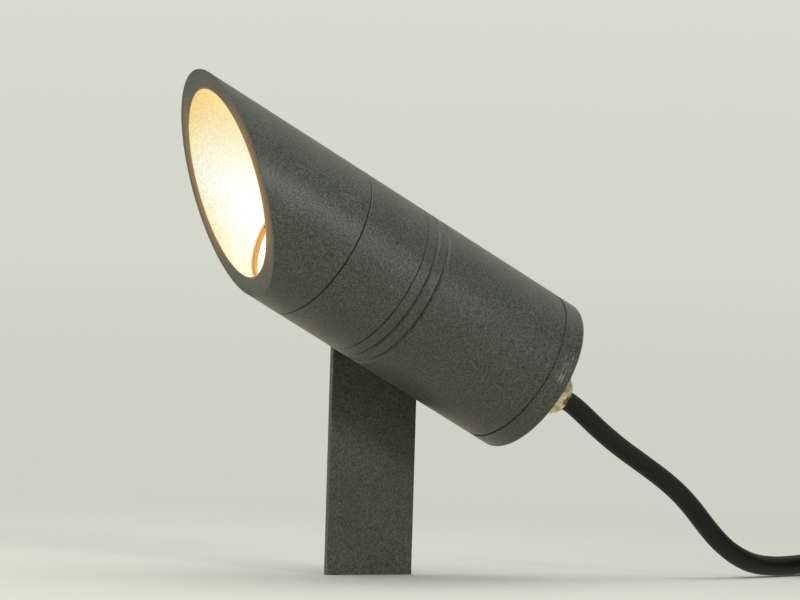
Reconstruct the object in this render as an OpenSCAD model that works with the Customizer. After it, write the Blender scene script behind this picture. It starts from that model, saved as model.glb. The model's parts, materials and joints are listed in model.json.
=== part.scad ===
// Outdoor spotlight: a round tilting head with a slanted glare hood, held by its side on a flat ground stake.
// Millimetres, +Z up. The origin is on the ground line in the middle of the stake. The head points to -Y,
// it tilts about an axis along X, and the stake stands on the head's -X side.
// Head pieces are drawn along the head's own axis: z runs forward from the rear seam, y is up.

/* [Body] */
// Outer diameter of the round body
body_d = 68; // [66:0.5:74]
// Length of the main housing between its rear and front seams
housing_len = 75; // [74:1:100]
// Length of the heat sink's bare skin between the housing and the hood
heat_sink_len = 30; // [29:1:45]
// Wall of the main housing
housing_wall = 5; // [4:0.25:5.5]
// How far the heat sink's rear spigot enters the housing
rear_spigot_len = 10; // [8:0.5:12]
// Upward tilt of the head at rest
tilt = 28; // [0:1:60]

/* [Seams and grooves] */
// Bevel on both edges of a seam
seam_bevel = 0.4; // [0.2:0.1:0.8]
// Length of the long bevel at the housing's rear edge
rear_bevel_len = 1.6; // [0.8:0.1:2.4]
// Depth of the long bevel at the housing's rear edge
rear_bevel_depth = 0.6; // [0.3:0.1:1]
// Number of turned grooves behind the front seam
groove_count = 2; // [1:1:4]
// Spacing of the grooves, and the first one's distance from the seam
groove_pitch = 5.5; // [4:0.5:7]
// Width of a groove at the skin
groove_w = 1.8; // [1:0.1:2.4]
// Depth of a groove
groove_depth = 0.9; // [0.4:0.1:1.4]

/* [Glare hood] */
// Longest side of the hood, from its seam to the top of the rim
hood_len = 82.5; // [81:0.5:110]
// Angle between the slanted cut and the head's axis
hood_cut = 45; // [45:1:75]
// Wall of the hood
hood_wall = 6; // [5.5:0.25:6.5]
// Gap between the hood and the shoulder that it turns on
hood_seam_gap = 0.3; // [0.2:0.1:0.5]
// Running clearance of the hood's bore on the heat sink's front spigot
hood_fit = 0.08; // [0.04:0.01:0.1]
// Diameter of the grub screw that keeps the hood on
grub_d = 3; // [2.5:0.5:3]
// Width of the round slot in the spigot that the grub screw's tip runs in
grub_slot_w = 2; // [1.8:0.1:2.4]
// Depth of that slot
grub_slot_depth = 1.2; // [0.8:0.1:1.4]

/* [Optics] */
// Distance from the hood seam to the ledge that the glass assembly rests on
glass_ledge = 7.5; // [7.2:0.1:10]
// Width of that ledge
ledge_w = 2.4; // [2:0.1:2.8]
// Wall of the spigot round the glass
glass_seat_wall = 1; // [0.8:0.1:1.2]
// Thickness of the front glass
glass_t = 3; // [2:0.5:4]
// Thickness of the silicone gasket behind the glass
rear_gasket_t = 0.8; // [0.5:0.1:1.2]
// Thickness of the silicone gasket in front of the glass
front_gasket_t = 0.5; // [0.4:0.1:0.8]
// Thickness of the threaded ring that holds the glass
glass_ring_t = 1.7; // [1.4:0.1:2.5]
// Width of the ring's visible face inside its thread
glass_ring_w = 1.35; // [1.1:0.05:1.8]
// Depth of the light chamber behind the hood seam
chamber_depth = 23; // [22:0.5:26]
// Wall of the reflector
reflector_wall = 1; // [0.8:0.1:1.4]
// Width of the square light-emitting board
board_w = 19; // [16:0.5:19]
// Thickness of that board
board_t = 1.5; // [1:0.1:1.8]
// Diameter of its round emitting field
emitter_d = 14.5; // [10:0.5:15]
// Height of the emitting field above the board
emitter_t = 0.7; // [0.4:0.1:1]
// Thickness of the heat pad under the board
heat_pad_t = 0.5; // [0.3:0.1:0.8]
// Diameter of the holder that clamps the board
holder_d = 39; // [37:0.5:41]
// Thickness of that holder
holder_t = 4.5; // [4:0.1:6]
// Distance between the holder's two screws
holder_screw_pitch = 31; // [30:0.5:33]
// Distance between the two wire holes through the heat sink
wire_hole_pitch = 24; // [23.5:0.5:26]
// Diameter of those wire holes
wire_hole_d = 4; // [3:0.5:5]
// Diameter of a light lead
lead_d = 1.7; // [1.2:0.1:1.9]

/* [Electrics] */
// Width of the driver and of the tray that carries it
driver_w = 28; // [24:1:28]
// Height of the driver
driver_h = 20; // [16:1:22]
// Length of the bare leads between the terminal block and the driver
lead_run = 5; // [4:0.5:8]
// Space between the driver and the heat sink
driver_front_gap = 5; // [4:0.5:8]
// Height of the tray's floor below the head's axis
tray_drop = 12; // [10:0.5:12]
// Thickness of the sheet that the tray is bent from
tray_t = 2; // [1.5:0.5:2.5]
// Height of the tray's flange below its floor
tray_flange_h = 11; // [10.5:0.5:12]
// Distance between the two screws in the tray's flange
tray_screw_pitch = 14; // [12:0.5:14]
// Thickness of the spring steel strap over the driver
strap_t = 0.8; // [0.5:0.1:1.2]
// Width of that strap
strap_w = 8; // [6:1:12]
// Width of the terminal block
block_w = 24; // [20:1:24]
// Height of the terminal block
block_h = 14; // [12:1:16]
// Length of the terminal block
block_len = 10.5; // [9:0.5:11]
// Spacing of the block's poles
pole_pitch = 6; // [5:0.5:6.5]

/* [Rear cap] */
// Length of the rear cap behind the rear seam
cap_len = 10; // [9.5:0.5:14]
// Rounding of the cap's back edge
cap_edge_r = 1.5; // [0.5:0.25:3]
// How far the cap's spigot enters the housing
cap_spigot_len = 8; // [7:0.5:9]
// Wall left in the middle of the cap, which the cable gland is screwed into
cap_floor = 6; // [5:0.5:7]
// Diameter of the wiring hollow in the cap
cap_hollow_d = 30; // [26:1:32]
// Number of screws that hold the cap
cap_screw_count = 3; // [3:1:4]
// Radius of the circle that those screws lie on
cap_screw_circle_r = 23.5; // [23:0.25:23.5]
// Depth of their threaded bosses in the housing
cap_boss_len = 13.5; // [12:0.5:15]

/* [Seals and fits] */
// Cross section of each O-ring
o_ring_d = 2; // [1.8:0.1:2.2]
// Width of each O-ring groove
o_ring_groove_w = 2.4; // [2.3:0.1:2.6]
// Clearance on each side of an O-ring's section
o_ring_gap = 0.05; // [0.02:0.01:0.1]
// Clearance of a spigot or a threaded ring in its bore
spigot_fit = 0.1; // [0.05:0.01:0.2]
// Clearance of a screw in its thread, and of a wire in its hole's end
thread_fit = 0.05; // [0.03:0.01:0.08]
// Clearance of a screw in a plain hole
screw_clear = 0.3; // [0.2:0.05:0.4]
// Clearance of a loose part in its pocket
pocket_gap = 0.2; // [0.1:0.05:0.3]

/* [Cable gland] */
// Size of the gland's hexagons across their flats
gland_af = 18; // [17:0.5:22]
// Diameter of the gland's thread in the cap
gland_thread_d = 16; // [14:0.5:17]
// How far the gland sits below the head's axis
gland_drop = 1; // [0:0.5:3]
// Thickness of the sealing washer under the gland
gland_washer_t = 1; // [0.5:0.5:1.5]
// Thickness of the gland body's hexagon
gland_hex_t = 4; // [3:0.5:6]
// Length of the dome nut's hexagon
dome_hex_len = 9.5; // [8:0.5:12]
// Length of the dome behind that hexagon
dome_len = 3.2; // [2:0.1:5]
// Diameter of the flat end of the dome
dome_end_d = 11; // [10:0.5:13]

/* [Pivot] */
// Distance of the pivot from the rear seam along the head's axis
pivot_from_rear = 53; // [44:0.5:54]
// Height of the pivot above the ground line
pivot_h = 115; // [110:1:180]
// Diameter of the pivot screw
pivot_screw_d = 6; // [5:0.5:8]
// Running clearance of the pivot screw in the stake
pivot_fit = 0.07; // [0.04:0.01:0.1]
// How deep the pivot screw enters the housing
pivot_thread_len = 8.5; // [8:0.5:9]
// Depth of the flat face milled on the housing's side
pivot_flat_depth = 1; // [0.6:0.1:1.4]
// Thickness of the friction washer between the housing and the stake
friction_washer_t = 1.5; // [1.5:0.1:2.5]
// Thickness of the flat washer outside the stake
flat_washer_t = 1.2; // [0.8:0.2:1.6]
// Thickness of the spring washer under the screw's head
spring_washer_t = 1.6; // [1.2:0.2:2]

/* [Stake] */
// Width of the stake's flat bar
stake_w = 40; // [30:1:50]
// Thickness of the stake's flat bar
stake_t = 3; // [2:0.5:5]
// Depth of the stake's tip below the ground line
stake_depth = 165; // [100:5:250]
// Length of the stake's pointed end
stake_point_len = 50; // [30:5:90]
// Width left at the very tip
stake_tip_w = 5; // [3:1:10]

/* [Supply cord and plug] */
// Outer diameter of the supply cord
cord_d = 8.5; // [8.3:0.1:8.8]
// Inner radius of the put-away coil, to the middle of the cord
coil_in_r = 36; // [35:0.5:44]
// Distance between turns that lie beside or on each other
coil_pitch = 9.05; // [9.05:0.05:9.6]
// Number of turns in the coil
coil_turns = 4.5; // [2.5:1:6.5]
// Width of the tie round the coil
tie_w = 6; // [4:1:12]
// Thickness of the tie round the coil
tie_t = 0.8; // [0.5:0.1:0.8]
// Diameter of the plug's body
plug_d = 38; // [36:0.5:42]
// Length of the plug's body
plug_len = 30; // [26:1:36]
// Length of the tapered sleeve on the plug
plug_sleeve_len = 20; // [15:1:30]
// Thickness of the insert that holds the plug's pins
plug_insert_t = 4; // [3:0.5:6]
// Diameter of a plug pin
pin_d = 4.8; // [4:0.1:5]
// Diameter of a plug pin's root inside the insert
pin_root_d = 5.8; // [5.2:0.1:7]
// Length of a plug pin
pin_len = 19; // [17:0.5:20]
// Distance between the two plug pins
pin_pitch = 19; // [17:0.5:20]

/* [Hidden] */

$fn = 96;
coat = "#3f3f3b";
body_r = body_d / 2;
bore_r = body_r - housing_wall;
spigot_r = bore_r - spigot_fit;
hood_bore_r = body_r - hood_wall;
hood_spigot_r = hood_bore_r - hood_fit;
glass_seat_r = hood_spigot_r - glass_seat_wall;
chamber_r = glass_seat_r - ledge_w;
window_r = glass_seat_r - glass_ring_w;

// Places along the head's axis, forward from the rear seam
hood_seam = housing_len + heat_sink_len;
sink_rear = housing_len - rear_spigot_len;
chamber_floor = hood_seam - chamber_depth;
ledge = hood_seam + glass_ledge;
glass_back = ledge + rear_gasket_t;
glass_front = glass_back + glass_t;
ring_back = glass_front + front_gasket_t;
ring_front = ring_back + glass_ring_t;
rim_top = hood_seam + hood_len;
front_ring_land = 0.8;
rear_ring_land = 2.8;
o_ring_in = front_ring_land + o_ring_groove_w / 2;
rear_ring_in = rear_ring_land + o_ring_groove_w / 2;
grub_slot_land = 1;
grub_place = hood_seam + front_ring_land + o_ring_groove_w + grub_slot_land + grub_slot_w / 2;
board_back = chamber_floor + heat_pad_t;
board_front = board_back + board_t;
holder_front = chamber_floor + holder_t;
reflector_gap = 0.5;
reflector_front = glass_back - reflector_gap;
reflector_side_gap = 0.3;
block_gap = 1.5;
block_back = cap_spigot_len + block_gap;
block_front = block_back + block_len;
driver_front = sink_rear - driver_front_gap;
driver_back = block_front + lead_run;
driver_len = driver_front - driver_back;
tray_overhang = 0.5;
tray_rear = block_back - tray_overhang;
boss_gap = 0.5;
boss_start = cap_spigot_len + boss_gap;
boss_overlap = 0.6;
boss_r = bore_r - cap_screw_circle_r + boss_overlap;

// Standard screw proportions
m4_r = 2;
m4_head_r = 3.5;
m4_head_h = 4;
m4_socket_af = 3;
m3_r = 1.5;
m3_head_r = 2.75;
m3_head_h = 2;
m3_socket_af = 2;
socket_depth = 2;
cap_screw_sink = 0.4;
cap_screw_grip = 11.5;
cap_screw_len = cap_len - m4_head_h - cap_screw_sink + cap_spigot_len + cap_screw_grip;
tray_screw_grip = 8;
tray_screw_drop = tray_drop + tray_flange_h / 2 + 1;
holder_screw_grip = 6;
block_screw_sink = 3;

// Gland places, backward from the cap's rear face
gland_out = gland_washer_t + gland_hex_t;
nut_gap = 0.3;
nut_start = gland_out + nut_gap;
nut_end = nut_start + dome_hex_len + dome_len;
gland_bore_clear = 0.4;
gland_sleeve_wall = 1.5;
gland_sleeve_back = 2;
insert_wall = 1.3;
insert_inset = 1.5;
insert_proud = 1.4;
gland_bore_r = cord_d / 2 + gland_bore_clear;
gland_sleeve_r = gland_af / 2 - gland_sleeve_wall;
gland_sleeve_end = nut_end - dome_len - gland_sleeve_back;
insert_r = gland_bore_r + insert_wall;
insert_start = gland_out + insert_inset;
insert_end = gland_sleeve_end + insert_proud;
cord_exit = cap_len + nut_end;
core_r = 1.05;
core_ring_r = 1.35;
core_start = 3;

// The plug's front face and the recess for its insert
plug_rim = 2.5;
plug_face = plug_sleeve_len + plug_len;
plug_insert_d = plug_d - 2 * plug_rim;

// Pivot places along X, outward from the head to the far side of the stake
pivot_flat_r = body_r - pivot_flat_depth;
axis_x = stake_t / 2 + friction_washer_t + pivot_flat_r;
pivot_pad_r = sqrt(pow(body_r, 2) - pow(pivot_flat_r, 2));
pivot_r = pivot_screw_d / 2;
pivot_head_r = pivot_screw_d * 5 / 6;
pivot_head_h = pivot_screw_d;
pivot_boss_r = pivot_screw_d * 1.4;
pivot_boss_end = pivot_flat_r - pivot_thread_len - 2.2;
washers_x = -stake_t / 2 - flat_washer_t - spring_washer_t;

// Route of the supply cord from the gland to the coil, in X, Y and Z
lane_x = 36;
coil_lane_x = 12.4;
route = [
    [lane_x, 78.8, 71.3], [lane_x, 83.2, 67.8], [lane_x, 88.2, 63.8], [lane_x, 94, 59.5],
    [lane_x, 100, 55.4], [lane_x, 106.5, 51.4], [lane_x, 113, 47.4], [lane_x, 119.5, 43.3],
    [lane_x, 125.5, 39.1], [lane_x, 131, 34.6], [lane_x, 136, 29.8], [lane_x, 140.6, 24.8],
    [35.75, 145.4, 19.9], [35.03, 150.8, 15.3], [33.72, 157, 11.3], [31.74, 164, 8.1],
    [29.13, 171.6, 5.9], [25.91, 180, 4.8], [21.93, 190, 4.4], [18.18, 200, 4.6],
    [15.08, 210, 5.1], [13.04, 220, 5.25]
];
coil_y = 241;
coil_low_z = 1 + cord_d / 2;

// The coil turns clockwise seen from above; it spirals in, climbs a layer, spirals out,
// climbs again and spirals in
steps_per_turn = 24;
join_step = 1;
coil_layers = 3;
layer_turns = coil_turns / coil_layers;
coil_out_r = coil_in_r + coil_pitch * layer_turns;
coil_x = coil_lane_x + coil_out_r;
function coil_layer(turn) = min(coil_layers - 1, floor(turn / layer_turns));
function coil_r(turn) =
    let (layer = coil_layer(turn), done = turn - layer * layer_turns)
    coil_in_r + coil_pitch * (layer % 2 == 0 ? layer_turns - done : done);
function climb(turn) = min(1, max(0, 2 * turn + 0.5));
function coil_rise(turn) = coil_pitch * (climb(turn - layer_turns) + climb(turn - 2 * layer_turns));
function coil_point(turn) = [
    coil_x - coil_r(turn) * cos(360 * turn),
    coil_y + coil_r(turn) * sin(360 * turn),
    coil_low_z + coil_rise(turn)
];
coil_start = coil_point(0);
coil_end = coil_point(coil_turns);
coil_path = concat(
    [coil_start - [0, cord_d, 0]],
    [for (i = [0 : steps_per_turn * coil_turns - 1]) coil_point(i / steps_per_turn)],
    [coil_end + [0, join_step, 0], coil_end]
);
least_coil_gap = min([
    for (i = [0 : len(coil_path) - 1])
        for (j = [i + steps_per_turn / 2 : len(coil_path) - 1])
            norm(coil_path[i] - coil_path[j])
]) - cord_d;
echo(least_coil_gap = least_coil_gap);

// A point of the head's own frame, in the part's frame
function head_point(p) = [
    axis_x + p[0],
    p[1] * sin(tilt) - (p[2] - pivot_from_rear) * cos(tilt),
    pivot_h + p[1] * cos(tilt) + (p[2] - pivot_from_rear) * sin(tilt)
];
exit_point = head_point([0, -gland_drop, -cord_exit]);
exit_step = head_point([0, -gland_drop, -cord_exit - cord_d / 2]);
supply_path = concat(
    [exit_point, exit_step], route,
    [coil_start - [0, cord_d + join_step, 0], coil_start - [0, cord_d, 0]]
);

// The lead goes on round the coil for half a turn and rises on to the plug, which lies on top of the coil
lead_steps = 12;
lead_r = coil_in_r + 0.5;
lead_x = coil_x + coil_in_r - lead_r;
plug_place = [
    lead_x - lead_r, coil_y + 4.5, coil_low_z + (coil_layers - 1) * coil_pitch + (cord_d + plug_d) / 2 - 0.6
];
function eased(u) = u * u * (3 - 2 * u);
function lead_point(u) = [
    lead_x + lead_r * cos(180 * u),
    coil_y - lead_r * sin(180 * u),
    coil_end[2] + (plug_place[2] - coil_end[2]) * eased(pow(u, 0.8))
];
lead_path = concat(
    [coil_end, coil_end - [0, join_step, 0]],
    [for (k = [1 : lead_steps]) lead_point(k / lead_steps)],
    [plug_place - [0, 1.5, 0], plug_place]
);

// A round tube swept along a list of points, as one closed polyhedron
function unit(v) = v / norm(v);
function heading(p, i) = unit(p[min(i + 1, len(p) - 1)] - p[max(i - 1, 0)]);
function sweep_ring(c, t, r, sides) =
    let (side = unit(cross(t, [0, 0, 1])), up = cross(side, t))
    [for (k = [0 : sides - 1]) c + r * (cos(360 * k / sides) * side + sin(360 * k / sides) * up)];
module sweep(path, r, sides) {
    last = len(path) - 1;
    points = [for (i = [0 : last]) each sweep_ring(path[i], heading(path, i), r, sides)];
    skin = [
        for (i = [0 : last - 1])
            for (k = [0 : sides - 1])
                let (a = i * sides + k, b = i * sides + (k + 1) % sides)
                each [[a, b, b + sides], [a, b + sides, a + sides]]
    ];
    front = [for (k = [1 : sides - 2]) [0, k + 1, k]];
    back = [for (k = [1 : sides - 2]) [last * sides, last * sides + k, last * sides + k + 1]];
    polyhedron(points, concat(skin, front, back));
}

// Head pieces are drawn in the head's own frame and set at the pivot
module on_head() {
    translate([axis_x, 0, pivot_h])
        rotate([90 - tilt, 0, 0])
            translate([0, 0, -pivot_from_rear])
                children();
}

// A ring of square section between two radii and two places on the axis
module ring(r_out, r_in, from, to) {
    translate([0, 0, from])
        difference() {
            cylinder(r = r_out, h = to - from);
            translate([0, 0, -1])
                cylinder(r = r_in, h = to - from + 2);
        }
}

// A round groove cut into a spigot of radius r, centred at a place on the axis
module spigot_groove(r, depth, w, place) {
    ring(r + 1, r - depth, place - w / 2, place + w / 2);
}

// The O-ring that fills such a groove
module o_ring(r, place) {
    translate([0, 0, place])
        rotate_extrude()
            translate([r - o_ring_d / 2 - o_ring_gap, 0])
                circle(d = o_ring_d, $fn = 32);
}
o_ring_groove_depth = o_ring_d + 2 * o_ring_gap - spigot_fit;

// A hexagonal prism by its size across the flats
module hexagon(af, h) {
    cylinder(d = af / cos(30), h = h, $fn = 6);
}

// A socket screw along z: the head's underside is at 0 and the shank points to +z
module socket_screw(r, len, head_r, head_h, socket_af) {
    difference() {
        union() {
            cylinder(r = r, h = len);
            translate([0, 0, -head_h])
                cylinder(r = head_r, h = head_h);
        }
        translate([0, 0, -head_h - 1])
            hexagon(socket_af, socket_depth + 1);
    }
}

// Places of the screws round the cap, with the first one on top
module round_cap_screws() {
    for (i = [0 : cap_screw_count - 1])
        rotate([0, 0, 90 + i * 360 / cap_screw_count])
            translate([cap_screw_circle_r, 0, 0])
                children();
}

// Turns z to point from the head's axis out to the stake's side
module to_stake_side(place) {
    translate([0, 0, place])
        rotate([0, -90, 0])
            children();
}

module main_housing() {
    color(coat)
        on_head()
            difference() {
                union() {
                    rotate_extrude()
                        polygon([
                            [bore_r, 0], [body_r - rear_bevel_depth, 0], [body_r, rear_bevel_len],
                            [body_r, housing_len - seam_bevel], [body_r - seam_bevel, housing_len],
                            [bore_r, housing_len]
                        ]);
                    round_cap_screws()
                        translate([0, 0, boss_start])
                            intersection() {
                                cylinder(r = boss_r, h = cap_boss_len);
                                translate([-cap_screw_circle_r, 0, 0])
                                    cylinder(r = bore_r + housing_wall / 2, h = cap_boss_len);
                            }
                    to_stake_side(pivot_from_rear)
                        translate([0, 0, pivot_boss_end])
                            cylinder(r = pivot_boss_r, h = bore_r + housing_wall / 2 - pivot_boss_end);
                }
                for (i = [1 : groove_count])
                    translate([0, 0, housing_len - i * groove_pitch])
                        rotate_extrude()
                            polygon([
                                [body_r + 1, -groove_w / 2 - groove_w / (2 * groove_depth)],
                                [body_r + 1, groove_w / 2 + groove_w / (2 * groove_depth)],
                                [body_r - groove_depth, 0]
                            ]);
                round_cap_screws()
                    translate([0, 0, boss_start - 1])
                        cylinder(r = m4_r, h = cap_boss_len);
                to_stake_side(pivot_from_rear)
                    translate([0, 0, pivot_flat_r])
                        cylinder(r = pivot_pad_r + 1, h = housing_wall);
                to_stake_side(pivot_from_rear)
                    translate([0, 0, pivot_flat_r - pivot_thread_len - 0.5])
                        cylinder(r = pivot_r, h = pivot_thread_len + 1);
            }
}

module heat_sink() {
    color(coat)
        on_head()
            difference() {
                rotate_extrude()
                    polygon([
                        [0, sink_rear], [spigot_r - seam_bevel, sink_rear],
                        [spigot_r, sink_rear + seam_bevel],
                        [spigot_r, housing_len], [body_r - seam_bevel, housing_len],
                        [body_r, housing_len + seam_bevel], [body_r, hood_seam - seam_bevel],
                        [body_r - seam_bevel, hood_seam], [hood_spigot_r, hood_seam],
                        [hood_spigot_r, ring_front], [glass_seat_r, ring_front], [glass_seat_r, ledge],
                        [chamber_r, ledge], [chamber_r, chamber_floor], [0, chamber_floor]
                    ]);
                spigot_groove(spigot_r, o_ring_groove_depth, o_ring_groove_w, housing_len - rear_ring_in);
                spigot_groove(hood_spigot_r, o_ring_d + 2 * o_ring_gap, o_ring_groove_w,
                              hood_seam + o_ring_in);
                spigot_groove(hood_spigot_r, grub_slot_depth, grub_slot_w, grub_place);
                for (side = [-1, 1]) {
                    translate([side * wire_hole_pitch / 2, 0, sink_rear - 1])
                        cylinder(d = wire_hole_d, h = chamber_floor - sink_rear + 2);
                    translate([0, side * holder_screw_pitch / 2, chamber_floor - 8])
                        cylinder(r = m3_r, h = 9);
                    translate([side * tray_screw_pitch / 2, -tray_screw_drop, sink_rear - 1])
                        cylinder(r = m4_r, h = 10);
                }
            }
}

module rear_cap() {
    color(coat)
        on_head()
            difference() {
                rotate_extrude() {
                    polygon([
                        [0, -cap_len], [body_r - cap_edge_r, -cap_len],
                        [body_r - cap_edge_r, cap_edge_r - cap_len],
                        [body_r, cap_edge_r - cap_len], [body_r, -0.2], [body_r - 0.2, 0], [spigot_r, 0],
                        [spigot_r, cap_spigot_len - seam_bevel], [spigot_r - seam_bevel, cap_spigot_len],
                        [0, cap_spigot_len]
                    ]);
                    intersection() {
                        translate([body_r - cap_edge_r, cap_edge_r - cap_len])
                            circle(r = cap_edge_r, $fn = 48);
                        translate([body_r - cap_edge_r - 0.1, -cap_len])
                            square([cap_edge_r + 0.1, cap_edge_r + 0.1]);
                    }
                }
                spigot_groove(spigot_r, o_ring_groove_depth, o_ring_groove_w, rear_ring_in);
                translate([0, 0, cap_floor - cap_len])
                    cylinder(d = cap_hollow_d, h = cap_len + cap_spigot_len);
                translate([0, -gland_drop, -cap_len - 1])
                    cylinder(d = gland_thread_d, h = cap_floor + 2);
                round_cap_screws() {
                    translate([0, 0, -cap_len - 1])
                        cylinder(r = m4_r + screw_clear, h = cap_len + cap_spigot_len + 2);
                    translate([0, 0, -cap_len - 1])
                        cylinder(r = m4_head_r + screw_clear, h = m4_head_h + cap_screw_sink + 1);
                }
            }
}

module glare_hood() {
    color(coat)
        on_head()
            difference() {
                rotate_extrude()
                    polygon([
                        [hood_bore_r, hood_seam + hood_seam_gap],
                        [body_r - seam_bevel, hood_seam + hood_seam_gap],
                        [body_r, hood_seam + hood_seam_gap + seam_bevel], [body_r, rim_top],
                        [hood_bore_r, rim_top]
                    ]);
                translate([0, body_r, rim_top])
                    rotate([90 - hood_cut, 0, 0])
                        translate([-body_d, -2 * hood_len, 0])
                            cube([2 * body_d, 3 * hood_len, 2 * hood_len]);
                to_stake_side(grub_place)
                    translate([0, 0, hood_bore_r - 1])
                        cylinder(d = grub_d, h = hood_wall + 2);
            }
}

module hood_grub_screw() {
    tip_clear = 0.4;
    side_clear = 0.2;
    sink = 0.6;
    socket_len = 1.5;
    grub_r = grub_d / 2 - thread_fit;
    tip_start = hood_spigot_r - grub_slot_depth + tip_clear;
    shank_start = hood_bore_r + side_clear;
    color("#8a8a88")
        on_head()
            to_stake_side(grub_place)
                difference() {
                    union() {
                        translate([0, 0, shank_start])
                            cylinder(r = grub_r, h = body_r - sink - shank_start);
                        translate([0, 0, tip_start])
                            cylinder(r = grub_slot_w / 2 - side_clear, h = shank_start - tip_start + 1);
                    }
                    translate([0, 0, body_r - sink - socket_len])
                        hexagon(grub_d / 2, 2 * socket_len);
                }
}

module hood_o_ring() {
    color("#1c1c1c")
        on_head()
            o_ring(hood_spigot_r, hood_seam + o_ring_in);
}

module housing_o_ring() {
    color("#1c1c1c")
        on_head()
            o_ring(bore_r, housing_len - rear_ring_in);
}

module cap_o_ring() {
    color("#1c1c1c")
        on_head()
            o_ring(bore_r, rear_ring_in);
}

module glass_rear_gasket() {
    color("#d8d8d4")
        on_head()
            ring(glass_seat_r - pocket_gap, chamber_r + pocket_gap, ledge, glass_back);
}

module front_glass() {
    color("#dfe9e6", 0.4)
        on_head()
            translate([0, 0, glass_back])
                cylinder(r = glass_seat_r - pocket_gap, h = glass_t);
}

module glass_front_gasket() {
    color("#d8d8d4")
        on_head()
            ring(glass_seat_r - pocket_gap, window_r + pocket_gap, glass_front, ring_back);
}

module glass_ring() {
    notch_w = 3;
    notch_depth = 1;
    color(coat)
        on_head()
            difference() {
                ring(glass_seat_r - spigot_fit, window_r, ring_back, ring_front);
                for (turn = [0, 90])
                    rotate([0, 0, turn])
                        translate([-notch_w / 2, -body_r, ring_front - notch_depth])
                            cube([notch_w, body_d, notch_depth + 1]);
            }
}

// A bowl that opens along a curve from the emitting field to the glass
module reflector() {
    throat_clear = 1.5;
    flare = 0.7;
    throat_r = emitter_d / 2 + throat_clear;
    mouth_r = chamber_r - reflector_side_gap;
    length = reflector_front - holder_front;
    steps = 12;
    color("#e6e7e8")
        on_head()
            translate([0, 0, holder_front])
                rotate_extrude()
                    polygon(concat(
                        [for (i = [0 : steps]) [throat_r + (mouth_r - throat_r) * pow(i / steps, flare),
                            length * i / steps]],
                        [for (i = [steps : -1 : 0]) [throat_r - reflector_wall
                            + (mouth_r - throat_r) * pow(i / steps, flare), length * i / steps]]
                    ));
}

module heat_pad() {
    color("#9aa0a6")
        on_head()
            translate([-board_w / 2, -board_w / 2, chamber_floor])
                cube([board_w, board_w, heat_pad_t]);
}

module led_board() {
    color("#f2f2ee")
        on_head()
            translate([-board_w / 2, -board_w / 2, board_back])
                cube([board_w, board_w, board_t]);
}

module led_emitter() {
    color("#f5c84a")
        on_head()
            translate([0, 0, board_front])
                cylinder(d = emitter_d, h = emitter_t);
}

module led_holder() {
    well = board_w + 2 * pocket_gap;
    color("#efefea")
        on_head()
            difference() {
                translate([0, 0, chamber_floor])
                    cylinder(d = holder_d, h = holder_t);
                translate([-well / 2, -well / 2, chamber_floor - 1])
                    cube([well, well, board_front - chamber_floor + 1]);
                translate([0, 0, chamber_floor - 1])
                    cylinder(r = emitter_d / 2 + pocket_gap, h = holder_t + 2);
                for (side = [-1, 1]) {
                    translate([0, side * holder_screw_pitch / 2, chamber_floor - 1])
                        cylinder(r = m3_r + pocket_gap, h = holder_t + 2);
                    translate([side * wire_hole_pitch / 2, 0, chamber_floor - 1])
                        cylinder(r = lead_d / 2 + pocket_gap, h = holder_t - 0.2);
                }
            }
}

module holder_screws() {
    for (side = [-1, 1])
        color("#b9b9b6")
            on_head()
                translate([0, side * holder_screw_pitch / 2, holder_front])
                    mirror([0, 0, 1])
                        socket_screw(m3_r - thread_fit, holder_t + holder_screw_grip, m3_head_r, m3_head_h,
                                     m3_socket_af);
}

module led_leads() {
    for (side = [-1, 1])
        color(side > 0 ? "#b3261e" : "#1c1c1c")
            on_head()
                translate([side * wire_hole_pitch / 2, 0, driver_front])
                    cylinder(d = lead_d, h = holder_front - 1.5 - driver_front);
}

// A floor for the driver with a flange that is screwed to the heat sink
module driver_tray() {
    color("#aeb2b5")
        on_head()
            difference() {
                union() {
                    translate([-driver_w / 2, -tray_drop - tray_t, tray_rear])
                        cube([driver_w, tray_t, sink_rear - tray_rear]);
                    translate([-driver_w / 2, -tray_drop - tray_flange_h, sink_rear - tray_t])
                        cube([driver_w, tray_flange_h, tray_t]);
                }
                for (side = [-1, 1])
                    translate([side * tray_screw_pitch / 2, -tray_screw_drop, sink_rear - tray_t - 1])
                        cylinder(r = m4_r + screw_clear, h = tray_t + 2);
                translate([0, -tray_drop - tray_t - 1, (block_back + block_front) / 2])
                    rotate([-90, 0, 0])
                        cylinder(r = m3_r, h = tray_t + 2);
            }
}

module tray_screws() {
    for (side = [-1, 1])
        color("#b9b9b6")
            on_head()
                translate([side * tray_screw_pitch / 2, -tray_screw_drop, sink_rear - tray_t])
                    socket_screw(m4_r - thread_fit, tray_t + tray_screw_grip, m4_head_r, m4_head_h / 2,
                                 m4_socket_af);
}

module led_driver() {
    color("#2e2f31")
        on_head()
            translate([-driver_w / 2, -tray_drop, driver_back])
                cube([driver_w, driver_h, driver_len]);
}

module driver_strap() {
    inside = driver_w + 2 * pocket_gap;
    color("#b4b7b9")
        on_head()
            translate([0, 0, (driver_back + driver_front - strap_w) / 2])
                linear_extrude(strap_w)
                    difference() {
                        translate([-inside / 2 - strap_t, -tray_drop - tray_t])
                            square([inside + 2 * strap_t, tray_t + driver_h + strap_t]);
                        translate([-inside / 2, -tray_drop - tray_t - 1])
                            square([inside, tray_t + driver_h + 1]);
                    }
}

module terminal_block() {
    color("#e9e6dc")
        on_head()
            difference() {
                translate([-block_w / 2, -tray_drop, block_back])
                    cube([block_w, block_h, block_len]);
                translate([0, -tray_drop - 1, (block_back + block_front) / 2]) {
                    rotate([-90, 0, 0])
                        cylinder(r = m3_r + pocket_gap, h = block_h + 2);
                    translate([0, block_h - 2, 0])
                        rotate([-90, 0, 0])
                            cylinder(r = m3_head_r + pocket_gap, h = 4);
                }
            }
}

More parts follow.
